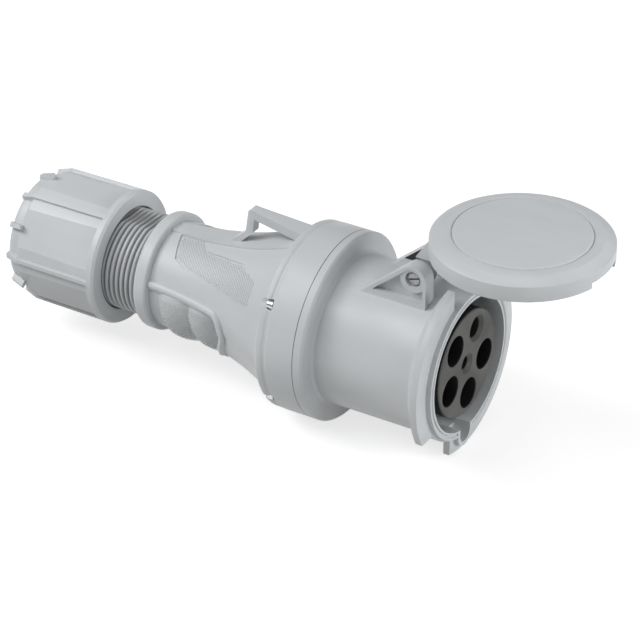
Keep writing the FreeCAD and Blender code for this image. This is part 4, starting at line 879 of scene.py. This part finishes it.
# Studio
# A pale floor under the coupler, soft lamps round it and a long lens at the photograph's angle.
CAMERA_TURN = math.radians(31.13)
CAMERA_RISE = math.radians(31.64)
CAMERA_DISTANCE = 1600 * MM
CAMERA_CLIP = (0.05, 20.0)
PHOTO_HALF_PIXELS = 320
FOCAL_PIXELS = 3128
AIM = Vector((-87.3, 0.0, 0.0)) * MM
AIM_DROP = 1.5 * MM
AIR_STRENGTH = 0.20
FLOOR_LEVEL = cad_box[0][2]
FLOOR_HALF = 6.0
FLOOR_GREY = (0.45, 0.45, 0.45, 1.0)
FLOOR_ROUGHNESS = 0.9
FLOOR_GLOW = 0.70
WHITE = (1.0, 1.0, 1.0, 1.0)

towards = Vector((math.sin(CAMERA_TURN) * math.cos(CAMERA_RISE),
                  -math.cos(CAMERA_TURN) * math.cos(CAMERA_RISE), math.sin(CAMERA_RISE)))
right = Vector((math.cos(CAMERA_TURN), math.sin(CAMERA_TURN), 0.0))
upward = towards.cross(right)
lens = bpy.data.cameras.new("studio_camera")
lens.angle = 2 * math.atan(PHOTO_HALF_PIXELS / FOCAL_PIXELS)
lens.clip_start, lens.clip_end = CAMERA_CLIP
camera = placed("studio_camera", lens)
turn = Matrix((right, upward, towards)).transposed().to_4x4()
camera.matrix_world = Matrix.Translation(AIM - upward * AIM_DROP + towards * CAMERA_DISTANCE) @ turn
bpy.context.scene.camera = camera


def lamp(name, place, size, power):
    """A soft square lamp that looks at the middle of the coupler."""
    light = bpy.data.lights.new(name, "AREA")
    light.size = size
    light.energy = power
    item = placed(name, light)
    item.location = place
    item.rotation_euler = (AIM - Vector(place)).to_track_quat("-Z", "Y").to_euler()


lamp("key_lamp", (-1.2, -0.6, 1.1), size=0.7, power=12.5)
lamp("side_lamp", (-0.55, -1.0, 1.25), size=0.7, power=7.2)
lamp("front_lamp", (1.3, -0.35, 0.5), size=1.0, power=6.5)
lamp("mouth_lamp", (1.4, 0.4, 0.45), size=0.4, power=7.0)
lamp("top_lamp", (-0.2, 0.1, 1.6), size=1.0, power=1.5)
lamp("back_lamp", (0.4, 1.2, 1.0), size=0.8, power=2.5)

world = bpy.data.worlds.new("studio_air")
world.use_nodes = True
bpy.context.scene.world = world
air = world.node_tree.nodes["Background"]
air.inputs["Color"].default_value = WHITE
air.inputs["Strength"].default_value = AIR_STRENGTH

paper = bpy.data.materials.new("studio_paper")
paper.use_nodes = True
sheet = paper.node_tree.nodes["Principled BSDF"]
sheet.inputs["Base Color"].default_value = FLOOR_GREY
sheet.inputs["Roughness"].default_value = FLOOR_ROUGHNESS
sheet.inputs["Emission Color"].default_value = WHITE
rays = paper.node_tree.nodes.new("ShaderNodeLightPath").outputs
seen = maths(paper.node_tree, "MAXIMUM", rays["Is Camera Ray"], rays["Is Glossy Ray"])
seen = maths(paper.node_tree, "MAXIMUM", seen, rays["Is Transmission Ray"])
glow = maths(paper.node_tree, "MULTIPLY", seen, FLOOR_GLOW)
paper.node_tree.links.new(glow, sheet.inputs["Emission Strength"])
floor_mesh = bpy.data.meshes.new("studio_floor")
floor_mesh.from_pydata([(-FLOOR_HALF, -FLOOR_HALF, FLOOR_LEVEL), (FLOOR_HALF, -FLOOR_HALF, FLOOR_LEVEL),
                        (FLOOR_HALF, FLOOR_HALF, FLOOR_LEVEL), (-FLOOR_HALF, FLOOR_HALF, FLOOR_LEVEL)],
                       [], [(0, 1, 2, 3)])
floor_mesh.materials.append(paper)
floor = placed("studio_floor", floor_mesh)
bpy.context.scene.view_settings.view_transform = "Standard"
